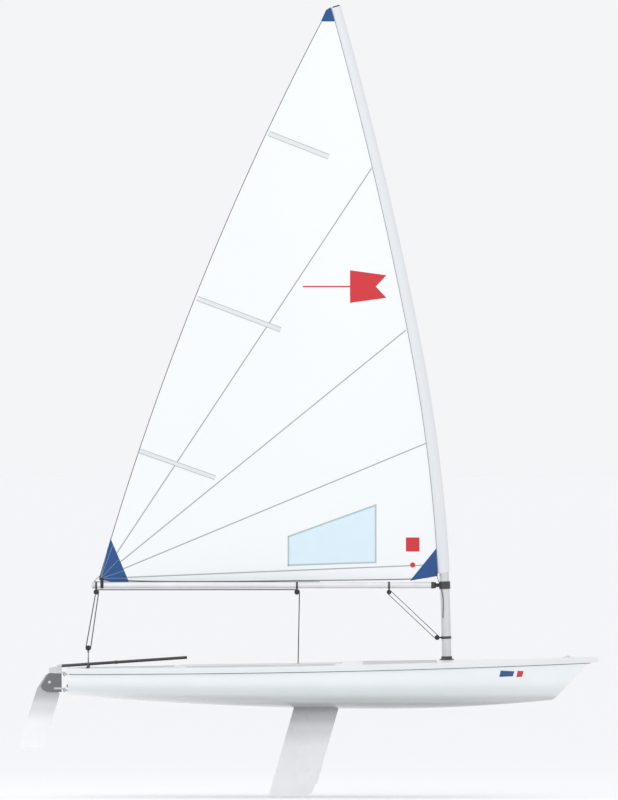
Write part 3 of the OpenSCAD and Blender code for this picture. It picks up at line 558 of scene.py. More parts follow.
def four_corner_grid(corners: Array | tuple[tuple[float, float], ...], rows: int, cols: int) -> Array:
    """A grid over a flat four-cornered shape: each point is the four corners weighed by its two shares.

    Args:
        corners: four places of two numbers, in order round the shape.
        rows: points from the first corner towards the fourth.
        cols: points from the first corner towards the second.

    Returns:
        Rows by columns by the two numbers.
    """
    p = np.asarray(corners, float)
    u, v = np.meshgrid(np.linspace(0, 1, rows), np.linspace(0, 1, cols), indexing="ij")
    return ((1 - u) * (1 - v))[..., None] * p[0] + ((1 - u) * v)[..., None] * p[1] \
        + (u * v)[..., None] * p[2] + (u * (1 - v))[..., None] * p[3]


def slab(name: str, middle: Array, thick: float, size: tuple[float, float] = (1.0, 1.0)) -> bpy.types.Object:
    """A thin solid on both sides of a surface, its thickness across the boat.

    Args:
        name: the piece's name.
        middle: rows by columns by x, y, z, the surface in the middle.
        thick: the thickness, in metres.
        size: the UV map's size, in metres.

    Returns:
        The new object.
    """
    rows, cols = middle.shape[:2]
    offset = np.array([0.0, thick / 2, 0.0])
    points = np.concatenate([(middle - offset).reshape(-1, 3), (middle + offset).reshape(-1, 3)])
    quads, corner = quads_of(rows, cols, False)
    n = rows * cols
    uv = corner / [rows - 1, cols - 1] * size
    edge = np.concatenate([np.arange(cols), cols - 1 + cols * np.arange(1, rows),
                           (rows - 1) * cols + np.arange(cols - 2, -1, -1),
                           cols * np.arange(rows - 2, 0, -1)])
    rim = np.stack([edge, np.roll(edge, -1), np.roll(edge, -1) + n, edge + n], 1)
    piece = make_mesh(name, points, [quads, quads[:, ::-1] + n, rim],
                      [uv, uv[:, ::-1], np.zeros((len(rim), 4, 2))])
    face_outwards(piece)
    piece.data.set_sharp_from_angle(angle=math.radians(50))
    return piece


def cut_from(piece: bpy.types.Object, tool: bpy.types.Object) -> None:
    """Cuts a closed tool out of a closed piece and removes the tool.

    Args:
        piece: the piece to cut.
        tool: the solid to take away.
    """
    cut = piece.modifiers.new("cut", "BOOLEAN")
    cut.operation = "DIFFERENCE"
    cut.solver = "EXACT"
    cut.object = tool
    bpy.context.view_layer.update()
    result = bpy.data.meshes.new_from_object(piece.evaluated_get(bpy.context.evaluated_depsgraph_get()))
    piece.modifiers.remove(cut)
    old = piece.data
    result.name = old.name
    piece.data = result
    bpy.data.meshes.remove(old)
    bpy.data.objects.remove(tool)
    piece.data.set_sharp_from_angle(angle=math.radians(35))


def finish_piece(piece: bpy.types.Object, finish: Finish, body: Body | None,
                 replaces: tuple[str, ...] = (), mat: bpy.types.Material | None = None) -> bpy.types.Object:
    """Dresses a piece, rides it on its body and hides the frame's nodes that it replaces.

    Args:
        piece: the piece.
        finish: its finish.
        body: the body that it rides on, or None to leave it on no body.
        replaces: the CAD nodes that it stands for.
        mat: a special material made from the finish.

    Returns:
        The same piece.
    """
    SHOP.dress(piece, finish, mat)
    if body is not None:
        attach(piece, body.value)
    if replaces:
        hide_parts(*replaces)
    LOG.info("%s: %d faces in %s", piece.name, len(piece.data.polygons), finish.name)
    return piece


# ---------- the boat's lines ----------
@dataclass(frozen=True)
class HullLines:
    """The hull's curves, in metres, as functions of the place along the boat."""

    half_length: float = 2.115
    half_beam: float = 0.685
    half_transom: float = 0.545
    sheer_mid: float = 0.2165
    keel_mid: float = 0.100
    rocker: float = 0.112
    stem_rake: float = math.radians(43.9)
    lip: float = 0.022
    deck_edge: float = 0.030
    transom: float = -2.105
    stem_top: float = 2.060
    cockpit: tuple[float, float] = (-1.208, 0.080)

    def sheer(self, x: Array) -> Array:
        """Height of the sheer: a parabola that rises to the bow."""
        u = x / self.half_length
        return self.sheer_mid + 0.044 * u + 0.0208 * u**2

    def keel(self, x: Array) -> Array:
        """Height of the keel: two parabolas, blended into the straight stem by a smooth maximum.

        Args:
            x: places along the boat.

        Returns:
            Heights, in metres.
        """
        low = 0.189 * self.half_length
        u = np.where(x < low, (low - x) / (self.half_length + low), (x - low) / (self.half_length - low))
        a = self.rocker * u**2 - self.keel_mid
        b = self.sheer(np.float64(self.stem_top)) + (x - self.stem_top) / math.tan(self.stem_rake)
        return np.minimum((a + b + np.sqrt((a - b) ** 2 + 0.009**2)) / 2, self.sheer(x) - 0.006)

    def beam(self, x: Array) -> Array:
        """Half breadth of the deck edge: power curves forward and aft of the widest station.

        Args:
            x: places along the boat.

        Returns:
            Half breadths, in metres.
        """
        wide = -0.118 * self.half_length
        u = np.clip((x - wide) / (self.half_length - wide), 0, 1)
        fore = (self.half_beam - 0.03) * (1 - u**2.2) + 0.03 * np.sqrt(1 - u)
        v = np.clip((wide - x) / (wide + self.half_length), 0, 1)
        aft = self.half_beam - (self.half_beam - self.half_transom) * v**1.8
        return np.where(x > wide, fore, aft)

    def crown(self, x: Array) -> Array:
        """Rise of the deck at the centreline above its edge.

        Args:
            x: places along the boat.

        Returns:
            Rises, in metres.
        """
        aft = 0.003 + 0.014 * (x + self.half_length) / (self.cockpit[0] + self.half_length)
        fore = 0.030 - 0.0254 * x / self.half_length
        step = np.clip((x - 0.068) / 0.024, 0, 1)
        return np.where(x < self.cockpit[0], aft, 0.017 + (fore - 0.017) * step)

    def deck(self, x: Array, y: Array) -> Array:
        """Height of the deck: its edge plus a crown that is a parabola across."""
        return self.sheer(x) + self.deck_edge + self.crown(x) * (1 - (y / self.beam(x)) ** 2)

    def power(self, x: Array) -> Array:
        """The exponent of the section's superellipse: fuller aft, sharper forward."""
        u = x / self.half_length
        return 2 / np.where(x < 0, 2.6 - 0.4 * u, 2.6 - 1.15 * np.abs(u) ** 1.2)

    def section(self, x: Array, angle: Array) -> tuple[Array, Array]:
        """The hull's side at a station, by an angle from the keel (0) to the sheer (90 degrees).

        Args:
            x: places along the boat.
            angle: the section's angle, in radians.

        Returns:
            Half breadths and heights.
        """
        b = self.beam(x) - self.lip
        top, low = self.sheer(x), self.keel(x)
        d = top - low
        flare = 0.07 * np.minimum(1, b / 0.25) * np.minimum(1, d / 0.2)
        c = np.cos(angle).clip(0) ** self.power(x)
        return (b - flare * c) * np.sin(angle).clip(0) ** self.power(x), top - d * c

    def side(self, x: Array, z: Array) -> Array:
        """Half breadth of the hull's side at a height."""
        share = ((self.sheer(x) - z) / (self.sheer(x) - self.keel(x))).clip(0, 1)
        return self.section(x, np.arccos(share ** (1 / self.power(x))))[0]


@dataclass(frozen=True)
class MastLine:
    """The bent mast's centreline: a straight foot and two bends, in metres."""

    forward: float = 0.9166
    foot: float = -0.050
    rake: float = math.radians(1.3)
    straight: float = 0.650
    second: float = 2.815
    bend_low: float = 13.0
    bend_high: float = 33.5
    length: float = 5.639

    def angle(self, s: Array) -> Array:
        """Lean of the mast at a distance along it: constant, then growing at each bend's rate."""
        return (self.rake + (np.clip(s, self.straight, self.second) - self.straight) / self.bend_low
                + (np.maximum(s, self.second) - self.second) / self.bend_high)

    def point(self, s: Array) -> Array:
        """The x and z of the centreline at distances along it, by each bend's arc.

        Args:
            s: distances along the mast.

        Returns:
            Rows of x and z.
        """
        s = np.asarray(s, float)
        base = np.array([self.forward - self.foot * math.tan(self.rake), self.foot])
        t = np.minimum(s, self.straight)
        x = base[0] - t * math.sin(self.rake)
        z = base[1] + t * math.cos(self.rake)
        for start, end, bend in ((self.straight, self.second, self.bend_low),
                                 (self.second, 9.0, self.bend_high)):
            a, b = self.angle(np.float64(start)), self.angle(np.clip(s, start, end))
            x = x - bend * (np.cos(a) - np.cos(b))
            z = z + bend * (np.sin(b) - np.sin(a))
        return np.stack([x, z], -1)

    def beside(self, s: Array, f: Array) -> Array:
        """The x and z of a point f forward of the centreline."""
        a = self.angle(np.asarray(s, float))
        return self.point(s) + np.stack([f * np.cos(a), f * np.sin(a)], -1)

    def at(self, z: Array) -> Array:
        """Distance along the mast at a height, read back from a fine table of the curve."""
        s = np.linspace(0, self.length + 0.1, 4000)
        return np.interp(z, self.point(s)[:, 1], s)


@dataclass(frozen=True)
class SailShape:
    """The set sail as a side position over its own side view, in metres."""

    mast: MastLine = MastLine()
    luff_length: float = 4.615
    clew_aft: float = 1.862
    roach: float = 0.122
    camber: float = 0.07
    twist: float = 0.110
    foot_half: float = 0.047
    head_half: float = 0.038
    gap: float = 0.0004

    @property
    def s_head(self) -> float:
        """Distance of the head along the mast."""
        return self.mast.length - 0.008

    @property
    def s_tack(self) -> float:
        """Distance of the tack along the mast."""
        return self.s_head - self.luff_length

    def sleeve_half(self, s: Array) -> Array:
        """Half width of the sleeve, narrowing evenly to the head."""
        t = (s - self.s_tack) / self.luff_length
        return self.foot_half * (1 - t) + self.head_half * t

    def luff(self, s: Array) -> Array:
        """The sail's forward edge, just behind the sleeve."""
        return self.mast.beside(s, -self.sleeve_half(s) - self.gap)

    @property
    def clew(self) -> Array:
        """The aft lower corner, in x and z."""
        return np.array([-self.clew_aft, float(self.luff(self.s_tack)[1]) - 0.032])

    @property
    def peak(self) -> Array:
        """The top of the leech, in x and z."""
        p = self.mast.point(self.s_head - 0.125)
        return np.array([p[0] - 0.154, p[1]])

    def leech(self, t: Array) -> Array:
        """The aft edge: a straight line with a parabola of roach outside it.

        Args:
            t: shares of the way from clew to peak.

        Returns:
            Rows of x and z.
        """
        run = self.peak - self.clew
        out = np.array([-run[1], run[0]]) / np.linalg.norm(run)
        t = np.asarray(t, float)[..., None]
        return self.clew + t * run + 4 * self.roach * t * (1 - t) * out

    def leech_x(self, z: Array) -> Array:
        """Place of the leech at a height.

        Args:
            z: heights.

        Returns:
            Places along the boat.
        """
        run = float((self.peak - self.clew)[1])
        t = ((z - self.clew[1]) / run).clip(0, 1.02)
        return self.leech(t)[..., 0] - 0.4 * self.roach * t * (1 - t) * (1 - 2 * t)

    def belly(self, x: Array, z: Array) -> Array:
        """Side position: a skewed parabola along the chord plus a twist that grows to mid height.

        Args:
            x: places along the boat.
            z: heights.

        Returns:
            Places across the boat.
        """
        x, z = np.asarray(x, float), np.asarray(z, float)
        top = float(self.luff(self.s_head)[1])
        tack = float(self.luff(self.s_tack)[1])
        zc = z.clip(self.clew[1], top - 0.020)
        a = self.luff(self.mast.at(zc.clip(tack, top)))[..., 0]
        b = np.minimum(self.leech_x(zc), a - 0.060)
        c = ((a - x) / (a - b)).clip(0, 1.05)
        wave = np.sin(np.pi * (zc - self.clew[1]) / (top - self.clew[1]))
        full = (a - b) * self.camber * (0.62 + 0.55 * wave) * 4 * c * (1 - c) * (1.25 - 0.5 * c)
        return full + self.twist * c * wave

    def on_sail(self, xz: Array) -> Array:
        """Points on the sail's middle surface over places seen from the side."""
        return np.stack([xz[..., 0], self.belly(xz[..., 0], xz[..., 1]), xz[..., 1]], -1)

    def grid(self, v: Array, c: Array) -> Array:
        """The sail's own grid of side-view places, by share of the height and of the chord.

        Args:
            v: shares of the height, from foot to head.
            c: shares of the chord, from luff to leech.

        Returns:
            Rows by columns by x and z.
        """
        v, c = v[:, None], c[None, :]
        peak_at = 0.972
        share = np.minimum(v / peak_at, 1)
        past = ((v - peak_at) / (1 - peak_at)).clip(0, 1)
        head = self.luff(self.s_head) + [-0.003, -0.001]
        middle = (self.peak + head) / 2 + [-0.014, 0.014]
        p = past[..., None]
        over = (1 - p) ** 2 * self.peak + 2 * p * (1 - p) * middle + p**2 * head
        end = np.where(v[..., None] <= peak_at, self.leech(share), over)
        start = self.luff(self.s_tack + self.luff_length * v)
        place = start + c[..., None] * (end - start)
        drop = 0.036 * (1 - np.exp(-c / 0.035)) * (1 - np.exp((c - 1) / 0.12)) * (1 - v) ** 24
        return np.stack([place[..., 0], place[..., 1] - drop], -1)


LINES = HullLines()
MAST = MastLine()
SAIL = SailShape()


# ---------- hull and deck ----------
def round_rectangle(low_x: float, high_x: float, half_y: float, radius: float, z: float) -> Array:
    """A ring of points round a rectangle with round corners, lying flat.

    Args:
        low_x: its aft end.
        high_x: its forward end.
        half_y: its half width.
        radius: the corners' radius.
        z: its height.

    Returns:
        The ring's points.
    """
    turn = np.linspace(0, np.pi / 2, 13)
    start = np.arange(4)[:, None] * np.pi / 2
    centre_x = np.array([high_x, low_x, low_x, high_x]) - radius * np.array([1, -1, -1, 1])
    centre_y = (half_y - radius) * np.array([1, 1, -1, -1])
    x = centre_x[:, None] + radius * np.cos(start + turn)
    y = centre_y[:, None] + radius * np.sin(start + turn)
    return np.stack([x.ravel(), y.ravel(), np.full(x.size, z)], -1)


def prism(name: str, outline: list[tuple[float, float]], low_y: float, high_y: float) -> bpy.types.Object:
    """A solid whose side view is an outline, between two places across the boat.

    Args:
        name: the new piece's name.
        outline: the corners in x and z, in order.
        low_y: one end across the boat.
        high_y: the other end.

    Returns:
        The new object.
    """
    flat = np.asarray(outline, float)
    rings = np.stack([np.stack([flat[:, 0], np.full(len(flat), y), flat[:, 1]], -1) for y in (low_y, high_y)])
    return loft(name, rings, sharp=10)


@dataclass
class HullAssembly:
    """The hull skin, the deck moulding and what is laid on them."""

    lines: HullLines = LINES
    clearance: float = 0.0044
    sole: float = 0.055
    rim: float = 0.2815
    sole_half: float = 0.240
    rim_half: float = 0.300

    def cockpit_tool(self) -> bpy.types.Object:
        """The cockpit space, with its sloping sides, as a solid to cut with.

        Returns:
            The new object.
        """
        g, low, high = self.clearance, *self.lines.cockpit
        rings = [round_rectangle(low - g, high + g, self.sole_half + g, 0.07, self.sole - g),
                 round_rectangle(low - g, high + g, self.rim_half + g, 0.07, self.rim)]
        return loft("cockpit_tool", np.stack(rings))

    @staticmethod
    def slot_tool() -> bpy.types.Object:
        """The board's sloping slot as a solid to cut with.

        Returns:
            The new object.
        """
        g, chord, low, height, lean = 0.005, 0.359, -0.160, 0.60, math.tan(math.radians(16))
        x0 = -0.310 + (low + 0.100) * lean
        side = [(x0 - g, low), (x0 + chord + g, low), (x0 + chord + g + height * lean, low + height),
                (x0 - g + height * lean, low + height)]
        return prism("slot_tool", side, -0.015 - g, 0.015 + g)

    @staticmethod
    def mast_tool() -> bpy.types.Object:
        """The mast's bore as a solid to cut with.

        Returns:
            The new object.
        """
        turn = np.linspace(0, 2 * np.pi, 48, endpoint=False)
        centre = MAST.point(np.array([-0.0004, 0.45]))
        radius = 0.0386
        rings = [np.stack([c[0] + radius * np.cos(turn), radius * np.sin(turn), np.full(48, c[1])], -1)
                 for c in centre]
        return loft("mast_tool", np.stack(rings))

    def skin(self) -> None:
        """The hull below the sheer, cut for the cockpit, the board and the mast."""
        x = np.concatenate([np.linspace(self.lines.transom, 1.30, 110),
                            np.linspace(1.30, self.lines.stem_top, 61)[1:]])
        half = np.radians(np.concatenate([np.linspace(0, 70, 36), np.linspace(70, 90, 16)[1:]]))
        y, z = self.lines.section(x[:, None], half[None, :])
        ring = np.concatenate([np.stack([np.broadcast_to(x[:, None], y.shape), y, z], -1)[:, ::-1],
                               np.stack([np.broadcast_to(x[:, None], y.shape), -y, z], -1)[:, 1:]], 1)
        piece = loft("hull_skin", ring, (4.2, 2.0), sharp=35)
        for tool in (self.cockpit_tool(), self.slot_tool(), self.mast_tool()):
            cut_from(piece, tool)
        # Painted shade: the hull's colour darkens towards the keel, where shade falls under the round of the
        # bilge.
        shaded = SHOP.shade_by_height(
            HULL_GLOSS, "hull_gloss_shaded",
            [(0.0, 0.17), (0.09, 0.33), (0.20, 0.62), (0.38, 0.86), (0.66, 1.0)], (-0.10, 0.25))
        finish_piece(piece, HULL_GLOSS, Body.HULL, ("hull_shape",), shaded)

    def deck(self) -> None:
        """The deck moulding with its rolled gunwale lip, cut for the cockpit, board and mast."""
        x = np.concatenate([[self.lines.transom - 0.0098], np.linspace(self.lines.transom - 0.008, 0.066, 70),
                            np.linspace(0.068, 0.092, 9), np.linspace(0.10, 1.9, 60),
                            2.1145 - 0.2145 * np.linspace(1, 0, 40)[1:] ** 2])
        b = self.lines.beam(x)[:, None]
        s = self.lines.sheer(x)[:, None]
        inner = np.maximum(b - self.lines.lip + 0.0006, 0.25 * b)
        aft = (x < self.lines.transom)[:, None]
        drop = np.where(aft, 0.0018, 0.014)
        top = s + self.lines.deck_edge
        soft = np.minimum(0.010, 0.4 * b)
        arc = np.radians(np.linspace(0, 90, 7))[None, :]
        rolled_y = b - soft + soft * np.cos(arc)
        rolled_z = top - soft + soft * np.sin(arc) + 0.0 * b
        rolled_z = rolled_z + (self.lines.deck(x[:, None], rolled_y) - top) * np.sin(arc)
        over_y = (b - soft) * np.linspace(1, 0, 25)[None, 1:]
        over_z = self.lines.deck(x[:, None], over_y)
        nose = np.minimum(0.003, 0.1 * b)
        half_y = np.concatenate([0 * b, inner, inner, b - nose, b, rolled_y, over_y], 1)
        half_z = np.concatenate([s, s, s - drop, s - drop, s - drop + nose, rolled_z, over_z], 1)
        right = np.stack([np.broadcast_to(x[:, None], half_y.shape), half_y, half_z], -1)
        left = (right * [1, -1, 1])[:, 1:-1][:, ::-1]
        piece = loft("deck_skin", np.concatenate([right, left], 1), (4.2, 1.6), sharp=35)
        recess = prism("recess_tool", [(0.068, 0.228), (0.185, 0.228), (0.185, 0.348), (0.068, 0.348)],
                       -0.046, 0.046)
        for tool in (self.cockpit_tool(), recess, self.slot_tool(), self.mast_tool()):
            cut_from(piece, tool)
        finish_piece(piece, DECK_GLOSS, Body.HULL, ("deck",))

    def gunwale_line(self) -> None:
        """The dark seam between hull and deck, under the lip."""
        x = np.concatenate([np.linspace(-2.09, 1.7, 70), np.linspace(1.7, 2.052, 24)[1:]])
        for side, name in ((-1, "seam_starboard"), (1, "seam_port")):
            z = self.lines.sheer(x) - 0.0152
            y = self.lines.side(x, z) + 0.0006
            finish_piece(sweep(name, np.stack([x, side * y, z], -1), 0.0034, 8, (0, 0, 1)),
                         GASKET, Body.HULL)

    def grip_panel(self, name: str, x: Array, low: Array, high: Array) -> None:
        """A thin raised panel that follows the deck between two edges.

        Args:
            name: the piece's name.
            x: stations along the boat.
            low: the place across the boat of one edge, at each station.
            high: the same for the other edge.
        """
        share = np.linspace(0, 1, 24)[None, :]
        y = low[:, None] + share * (high - low)[:, None]
        xx = np.broadcast_to(x[:, None], y.shape)
        z = self.lines.deck(xx, y)
        up = np.stack([xx, y, z + 0.0008], -1)
        low_face = np.stack([xx, y, z - 0.001], -1)[:, ::-1]
        finish_piece(loft(name, np.concatenate([up, low_face], 1), sharp=30), DECK_GRIP, Body.HULL)

    def grip_panels(self) -> None:
        """Raised non-skid panels on the foredeck, the side decks and the aft deck."""
        side_x = np.linspace(-1.16, 0.02, 60)
        for sign, name in ((-1, "starboard"), (1, "port")):
            outer = sign * (self.lines.beam(side_x) - 0.055)
            self.grip_panel("side_grip_" + name, side_x, np.full(60, sign * 0.325), outer)
            fore_x = np.linspace(0.24, 0.83, 40)
            self.grip_panel("fore_grip_" + name, fore_x, np.full(40, sign * 0.03),
                            sign * (self.lines.beam(fore_x) - 0.075))
        aft_x = np.linspace(-2.03, -1.26, 40)
        aft_half = self.lines.beam(aft_x) - 0.16
        self.grip_panel("aft_grip", aft_x, -aft_half, aft_half)

    def coaming(self) -> None:
        """A round bead along the cockpit's edge."""
        low, high = self.lines.cockpit
        flat = round_rectangle(low - 0.003, high + 0.003, 0.2975, 0.072, 0.0)
        dense = np.vstack([flat, flat[:1]])
        gap = np.linalg.norm(np.diff(dense, axis=0), axis=1)
        at = np.concatenate([[0], np.cumsum(gap)])
        t = np.linspace(0, at[-1], 260)
        xy = np.stack([np.interp(t, at, dense[:, k]) for k in (0, 1)], -1)
        z = self.lines.deck(xy[:, 0], xy[:, 1]) + 0.0012
        path = np.column_stack([xy, z])
        keep = (path[:, 0] < 0.06) | (np.abs(path[:, 1]) > 0.066)
        start = int(np.argmin(np.where(keep, 1, 0)))
        path = np.roll(path[:-1], -start, axis=0)
        keep = (path[:, 0] < 0.06) | (np.abs(path[:, 1]) > 0.066)
        finish_piece(sweep("cockpit_bead", path[keep], 0.0035, 10, (0, 0, 1)), DECK_GLOSS, Body.HULL)

    def mark(self) -> None:
        """A blank blue flash and a small red block on each side of the bow, in place of a name."""
        for sign, tail in ((-1, "starboard"), (1, "port")):
            for name, finish, corners in (
                    ("flash_", MARK_BLUE, ((1.326, 0.156), (1.338, 0.206), (1.446, 0.200), (1.434, 0.160))),
                    ("pennant_", MARK_RED, ((1.462, 0.154), (1.474, 0.204), (1.520, 0.201), (1.508, 0.156)))):
                flat = four_corner_grid(corners, 16, 8)
                y = sign * (self.lines.side(flat[..., 0], flat[..., 1]) + 0.0007)
                finish_piece(slab(name + tail, np.stack([flat[..., 0], y, flat[..., 1]], -1), 0.0016),
                             finish, Body.HULL)

    def strap(self) -> None:
        """The hiking strap: a flat ribbon of webbing from the sole up to the aft wall."""
        path = smooth_path([(-0.346, 0, 0.0575), (-0.396, 0, 0.0575), (-0.45, 0, 0.079), (-0.70, 0, 0.1005),
                            (-0.96, 0, 0.1185), (-1.1854, 0, 0.1325), (-1.2040, 0, 0.1400),
                            (-1.2060, 0, 0.1525), (-1.2060, 0, 0.193)], 140)
        y = np.linspace(-0.025, 0.025, 9)
        along = np.gradient(path, axis=0)
        along /= np.linalg.norm(along, axis=1, keepdims=True)
        normal = np.stack([-along[:, 2], np.zeros(len(path)), along[:, 0]], -1) * 0.0011
        face = np.stack([np.broadcast_to(path[:, None, 0], (140, 9)), np.broadcast_to(y[None, :], (140, 9)),
                         np.broadcast_to(path[:, None, 2], (140, 9))], -1)
        ring = np.concatenate([face + normal[:, None], (face - normal[:, None])[:, ::-1]], 1)
        piece = finish_piece(loft("hiking_webbing", ring, (0.95, 0.1), sharp=40), BLACK_WEBBING, Body.HULL,
                             ("hiking_strap",))

    def build(self) -> None:
        """Builds every piece of the hull."""
        self.skin()
        self.deck()
        self.gunwale_line()
        self.grip_panels()
        self.coaming()
        self.mark()
        self.strap()


# ---------- sail ----------
@dataclass
class SailAssembly:
    """The sail, its sleeve, window, seams, patches, battens and marks."""

    shape: SailShape = SAIL
    cloth: float = 0.0012
    patch_cells: int = 24
    window: tuple[tuple[float, float], ...] = ((-0.3515, 1.041), (-0.3515, 1.270), (0.3445, 1.521),
                                               (0.3445, 1.064))

    def patch(self, name: str, finish: Finish, corners: tuple[tuple[float, float], ...]) -> None:
        """A four-cornered piece sewn on each face of the cloth.

        Args:
            name: the piece's name, to which the side is added.
            finish: its finish.
            corners: four corners seen from the side, in order.
        """
        self.sewn(name, finish, four_corner_grid(corners, self.patch_cells, self.patch_cells), 0.0007)

    def sewn(self, name: str, finish: Finish, flat: Array, thick: float) -> None:
        """Puts a grid of side-view places on both faces of the cloth, as thin pieces.

        Args:
            name: the piece's name, to which the side is added.
            finish: its finish.
            flat: rows by columns by x and z.
            thick: its thickness.
        """
        size = (float(np.linalg.norm(np.diff(flat[:, 0], axis=0), axis=1).sum()),
                float(np.linalg.norm(flat[0, -1] - flat[0, 0])) + 1e-4)
        for sign, tail in ((-1, "starboard"), (1, "port")):
            middle = self.shape.on_sail(flat)
            middle[..., 1] += sign * (self.cloth / 2 + thick / 2 - 0.0001)
            finish_piece(slab(f"{name}_{tail}", middle, thick, size), finish, Body.RIG)

    def strip(self, name: str, finish: Finish, a: tuple[float, float], b: tuple[float, float], width: float,
              thick: float = 0.0006) -> None:
        """A straight band of cloth on both faces, from a to b as seen from the side.

        Args:
            name: the piece's name, to which the side is added.
            finish: its finish.
            a: where it starts, in x and z.
            b: where it ends.
            width: its width.
            thick: its thickness.
        """
        a, b = np.asarray(a, float), np.asarray(b, float)
        way = (b - a) / np.linalg.norm(b - a)
        out = np.array([-way[1], way[0]]) * width / 2
        t = np.linspace(0, 1, max(int(np.linalg.norm(b - a) / 0.03), 4))[:, None, None]
        across = np.array([-1.0, 0.0, 1.0])[None, :, None]
        self.sewn(name, finish, a + t * (b - a) + across * out, thick)

    def panel(self) -> None:
        """The set cloth, with the window cut out."""
        v = np.linspace(0, 1, 220)
        c = np.concatenate([np.linspace(0, 0.1, 12), np.linspace(0.1, 0.9, 70)[1:],
                            np.linspace(0.9, 1, 14)[1:]])
        flat = self.shape.grid(v, c)
        piece = slab("sail_cloth_set", self.shape.on_sail(flat), self.cloth, (5.0, 2.7))
        cut_from(piece, prism("window_tool", list(self.window), -0.4, 0.9))
        finish_piece(piece, SAIL_CLOTH, Body.RIG, ("sail",))
        cells = np.diff(flat, axis=0)[:, :-1], np.diff(flat, axis=1)[:-1]
        area = float(np.abs(cells[0][..., 0] * cells[1][..., 1] - cells[0][..., 1] * cells[1][..., 0]).sum())
        hole = np.asarray(self.window)
        nxt = np.roll(hole, -1, axis=0)
        area -= abs(float((hole[:, 0] * nxt[:, 1] - hole[:, 1] * nxt[:, 0]).sum())) / 2
        LOG.info("sail area %.3f", area)

    def window_pane(self) -> None:
        """The clear pane and the bands sewn round it."""
        p = np.asarray(self.window)
        out = p + np.array([[-0.01, -0.01], [-0.01, 0.01], [0.01, 0.012], [0.01, -0.01]])
        middle = self.shape.on_sail(four_corner_grid(out, 30, 16))
        middle[..., 1] += self.cloth / 2 + 0.0002
        finish_piece(slab("window_pane", middle, 0.0005, (0.7, 0.45)), WINDOW_FILM, Body.RIG,
                     ("sail_window",))
        for k in range(4):
            a, b = p[k], p[(k + 1) % 4]
            way = (b - a) / np.linalg.norm(b - a)
            self.strip(f"window_band_{k}", WINDOW_TAPE, tuple(a - way * 0.006), tuple(b + way * 0.006), 0.012)

    def seams(self) -> None:
        """The seams that fan out from the clew, and the bands along leech and foot."""
        start = np.array([-1.852, 0.936])
        for k, end in enumerate(((0.323, 4.222), (0.605, 2.931), (0.749, 2.015), (0.839, 1.047))):
            self.strip(f"seam_{k}", SEAM_TAPE, tuple(start), end, 0.009, 0.0005)
        v = np.linspace(0.002, 0.972, 160)
        edge = self.shape.grid(v, np.array([1.0]))[:, 0]
        self.sewn("leech_band", LEECH_TAPE, np.stack([edge + [0.0005, 0], edge + [0.0065, 0.0]], 1), 0.0006)
        c = np.linspace(0.004, 0.992, 100)
        foot = self.shape.grid(np.array([0.0]), c)[0]
        self.sewn("foot_band", LEECH_TAPE, np.stack([foot + [0, 0.0005], foot + [0, 0.0075]], 1), 0.0006)

    def corners(self) -> None:
        """The blue patches at head, clew and tack, with the clew's fine radiating stitching."""
        self.patch("head_patch", SAIL_BLUE, ((-0.014, 5.487), (-0.052, 5.464), (-0.093, 5.373),
                                             (0.022, 5.373)))
        self.patch("clew_patch_upper", SAIL_BLUE, ((-1.768, 1.256), (-1.814, 1.090), (-1.8605, 0.924),
                                                   (-1.6945, 1.083)))
        self.patch("clew_patch_lower", SAIL_BLUE, ((-1.8605, 0.924), (-1.741, 0.9095), (-1.621, 0.908),
                                                   (-1.6945, 1.083)))
        self.patch("tack_patch", SAIL_BLUE, ((0.829, 1.180), (0.723, 1.0485), (0.617, 0.918), (0.838, 0.956)))
        for k, end in enumerate(((-1.790, 1.185), (-1.748, 1.205), (-1.700, 1.090), (-1.660, 0.998),
                                 (-1.634, 0.937))):
            self.strip(f"clew_stitch_{k}", SEAM_TAPE, (-1.846, 0.938), end, 0.0022, 0.0012)

    def battens(self) -> None:
        """The three batten pockets, from just inside the leech."""
        p = self.shape
        rows = ((0.80, (0.478, -0.186), 0.043, "batten_top"),
                (0.504, (0.665, -0.251), 0.040, "batten_middle"),
                (0.23, (0.600, -0.214), 0.037, "batten_lower"))
        for share, run, width, node in rows:
            height = p.clew[1] + share * (p.peak - p.clew)[1]
            start = np.array([float(p.leech_x(height)) + 0.005, height])
            end = start + np.asarray(run)
            way = (end - start) / np.linalg.norm(end - start)
            out = np.array([-way[1], way[0]]) * width / 2
            t = np.linspace(0, 1, 50)[:, None, None]
            across = np.linspace(-1, 1, 9)[None, :, None]
            flat = start + t * (end - start) + across * out
            middle = p.on_sail(flat)
            middle[..., 1] -= self.cloth / 2 + 0.0011
            ridge = slab("pocket_" + node, middle, 0.0024, (0.6, 0.05))
            finish_piece(ridge, BATTEN_CLOTH, Body.RIG, (node,))
            for k, sign in enumerate((-1, 1)):
                line = start + t[:, 0] * (end - start) + sign * 0.86 * out
                path = p.on_sail(line)
                path[:, 1] -= self.cloth / 2 + 0.0022
                finish_piece(sweep(f"stitch_{node}_{k}", path, 0.0016, 8), SAIL_TAPE, Body.RIG)

    def marks(self) -> None:
        """A blank red square, a red dot and a generic swallowtail pennant, in place of a class's marks."""
        self.patch("red_square", SAIL_RED, ((0.585, 1.151), (0.585, 1.263), (0.693, 1.263), (0.693, 1.151)))
        turn = np.linspace(0, 2 * np.pi, 33)[None, :]
        r = np.linspace(0.0004, 0.021, 5)[:, None]
        dot = np.stack([0.639 + r * np.cos(turn), 1.044 + r * np.sin(turn)], -1)
        self.sewn("red_dot", SAIL_RED, dot.transpose(1, 0, 2), 0.0007)
        self.patch("pennant_upper", SAIL_RED, ((0.140, 3.262), (0.140, 3.392), (0.430, 3.352),
                                               (0.345, 3.262)))
        self.patch("pennant_lower", SAIL_RED, ((0.140, 3.132), (0.140, 3.262), (0.345, 3.262),
                                               (0.430, 3.172)))
        self.strip("pennant_staff", SAIL_RED, (-0.237, 3.262), (0.142, 3.262), 0.011, 0.0007)

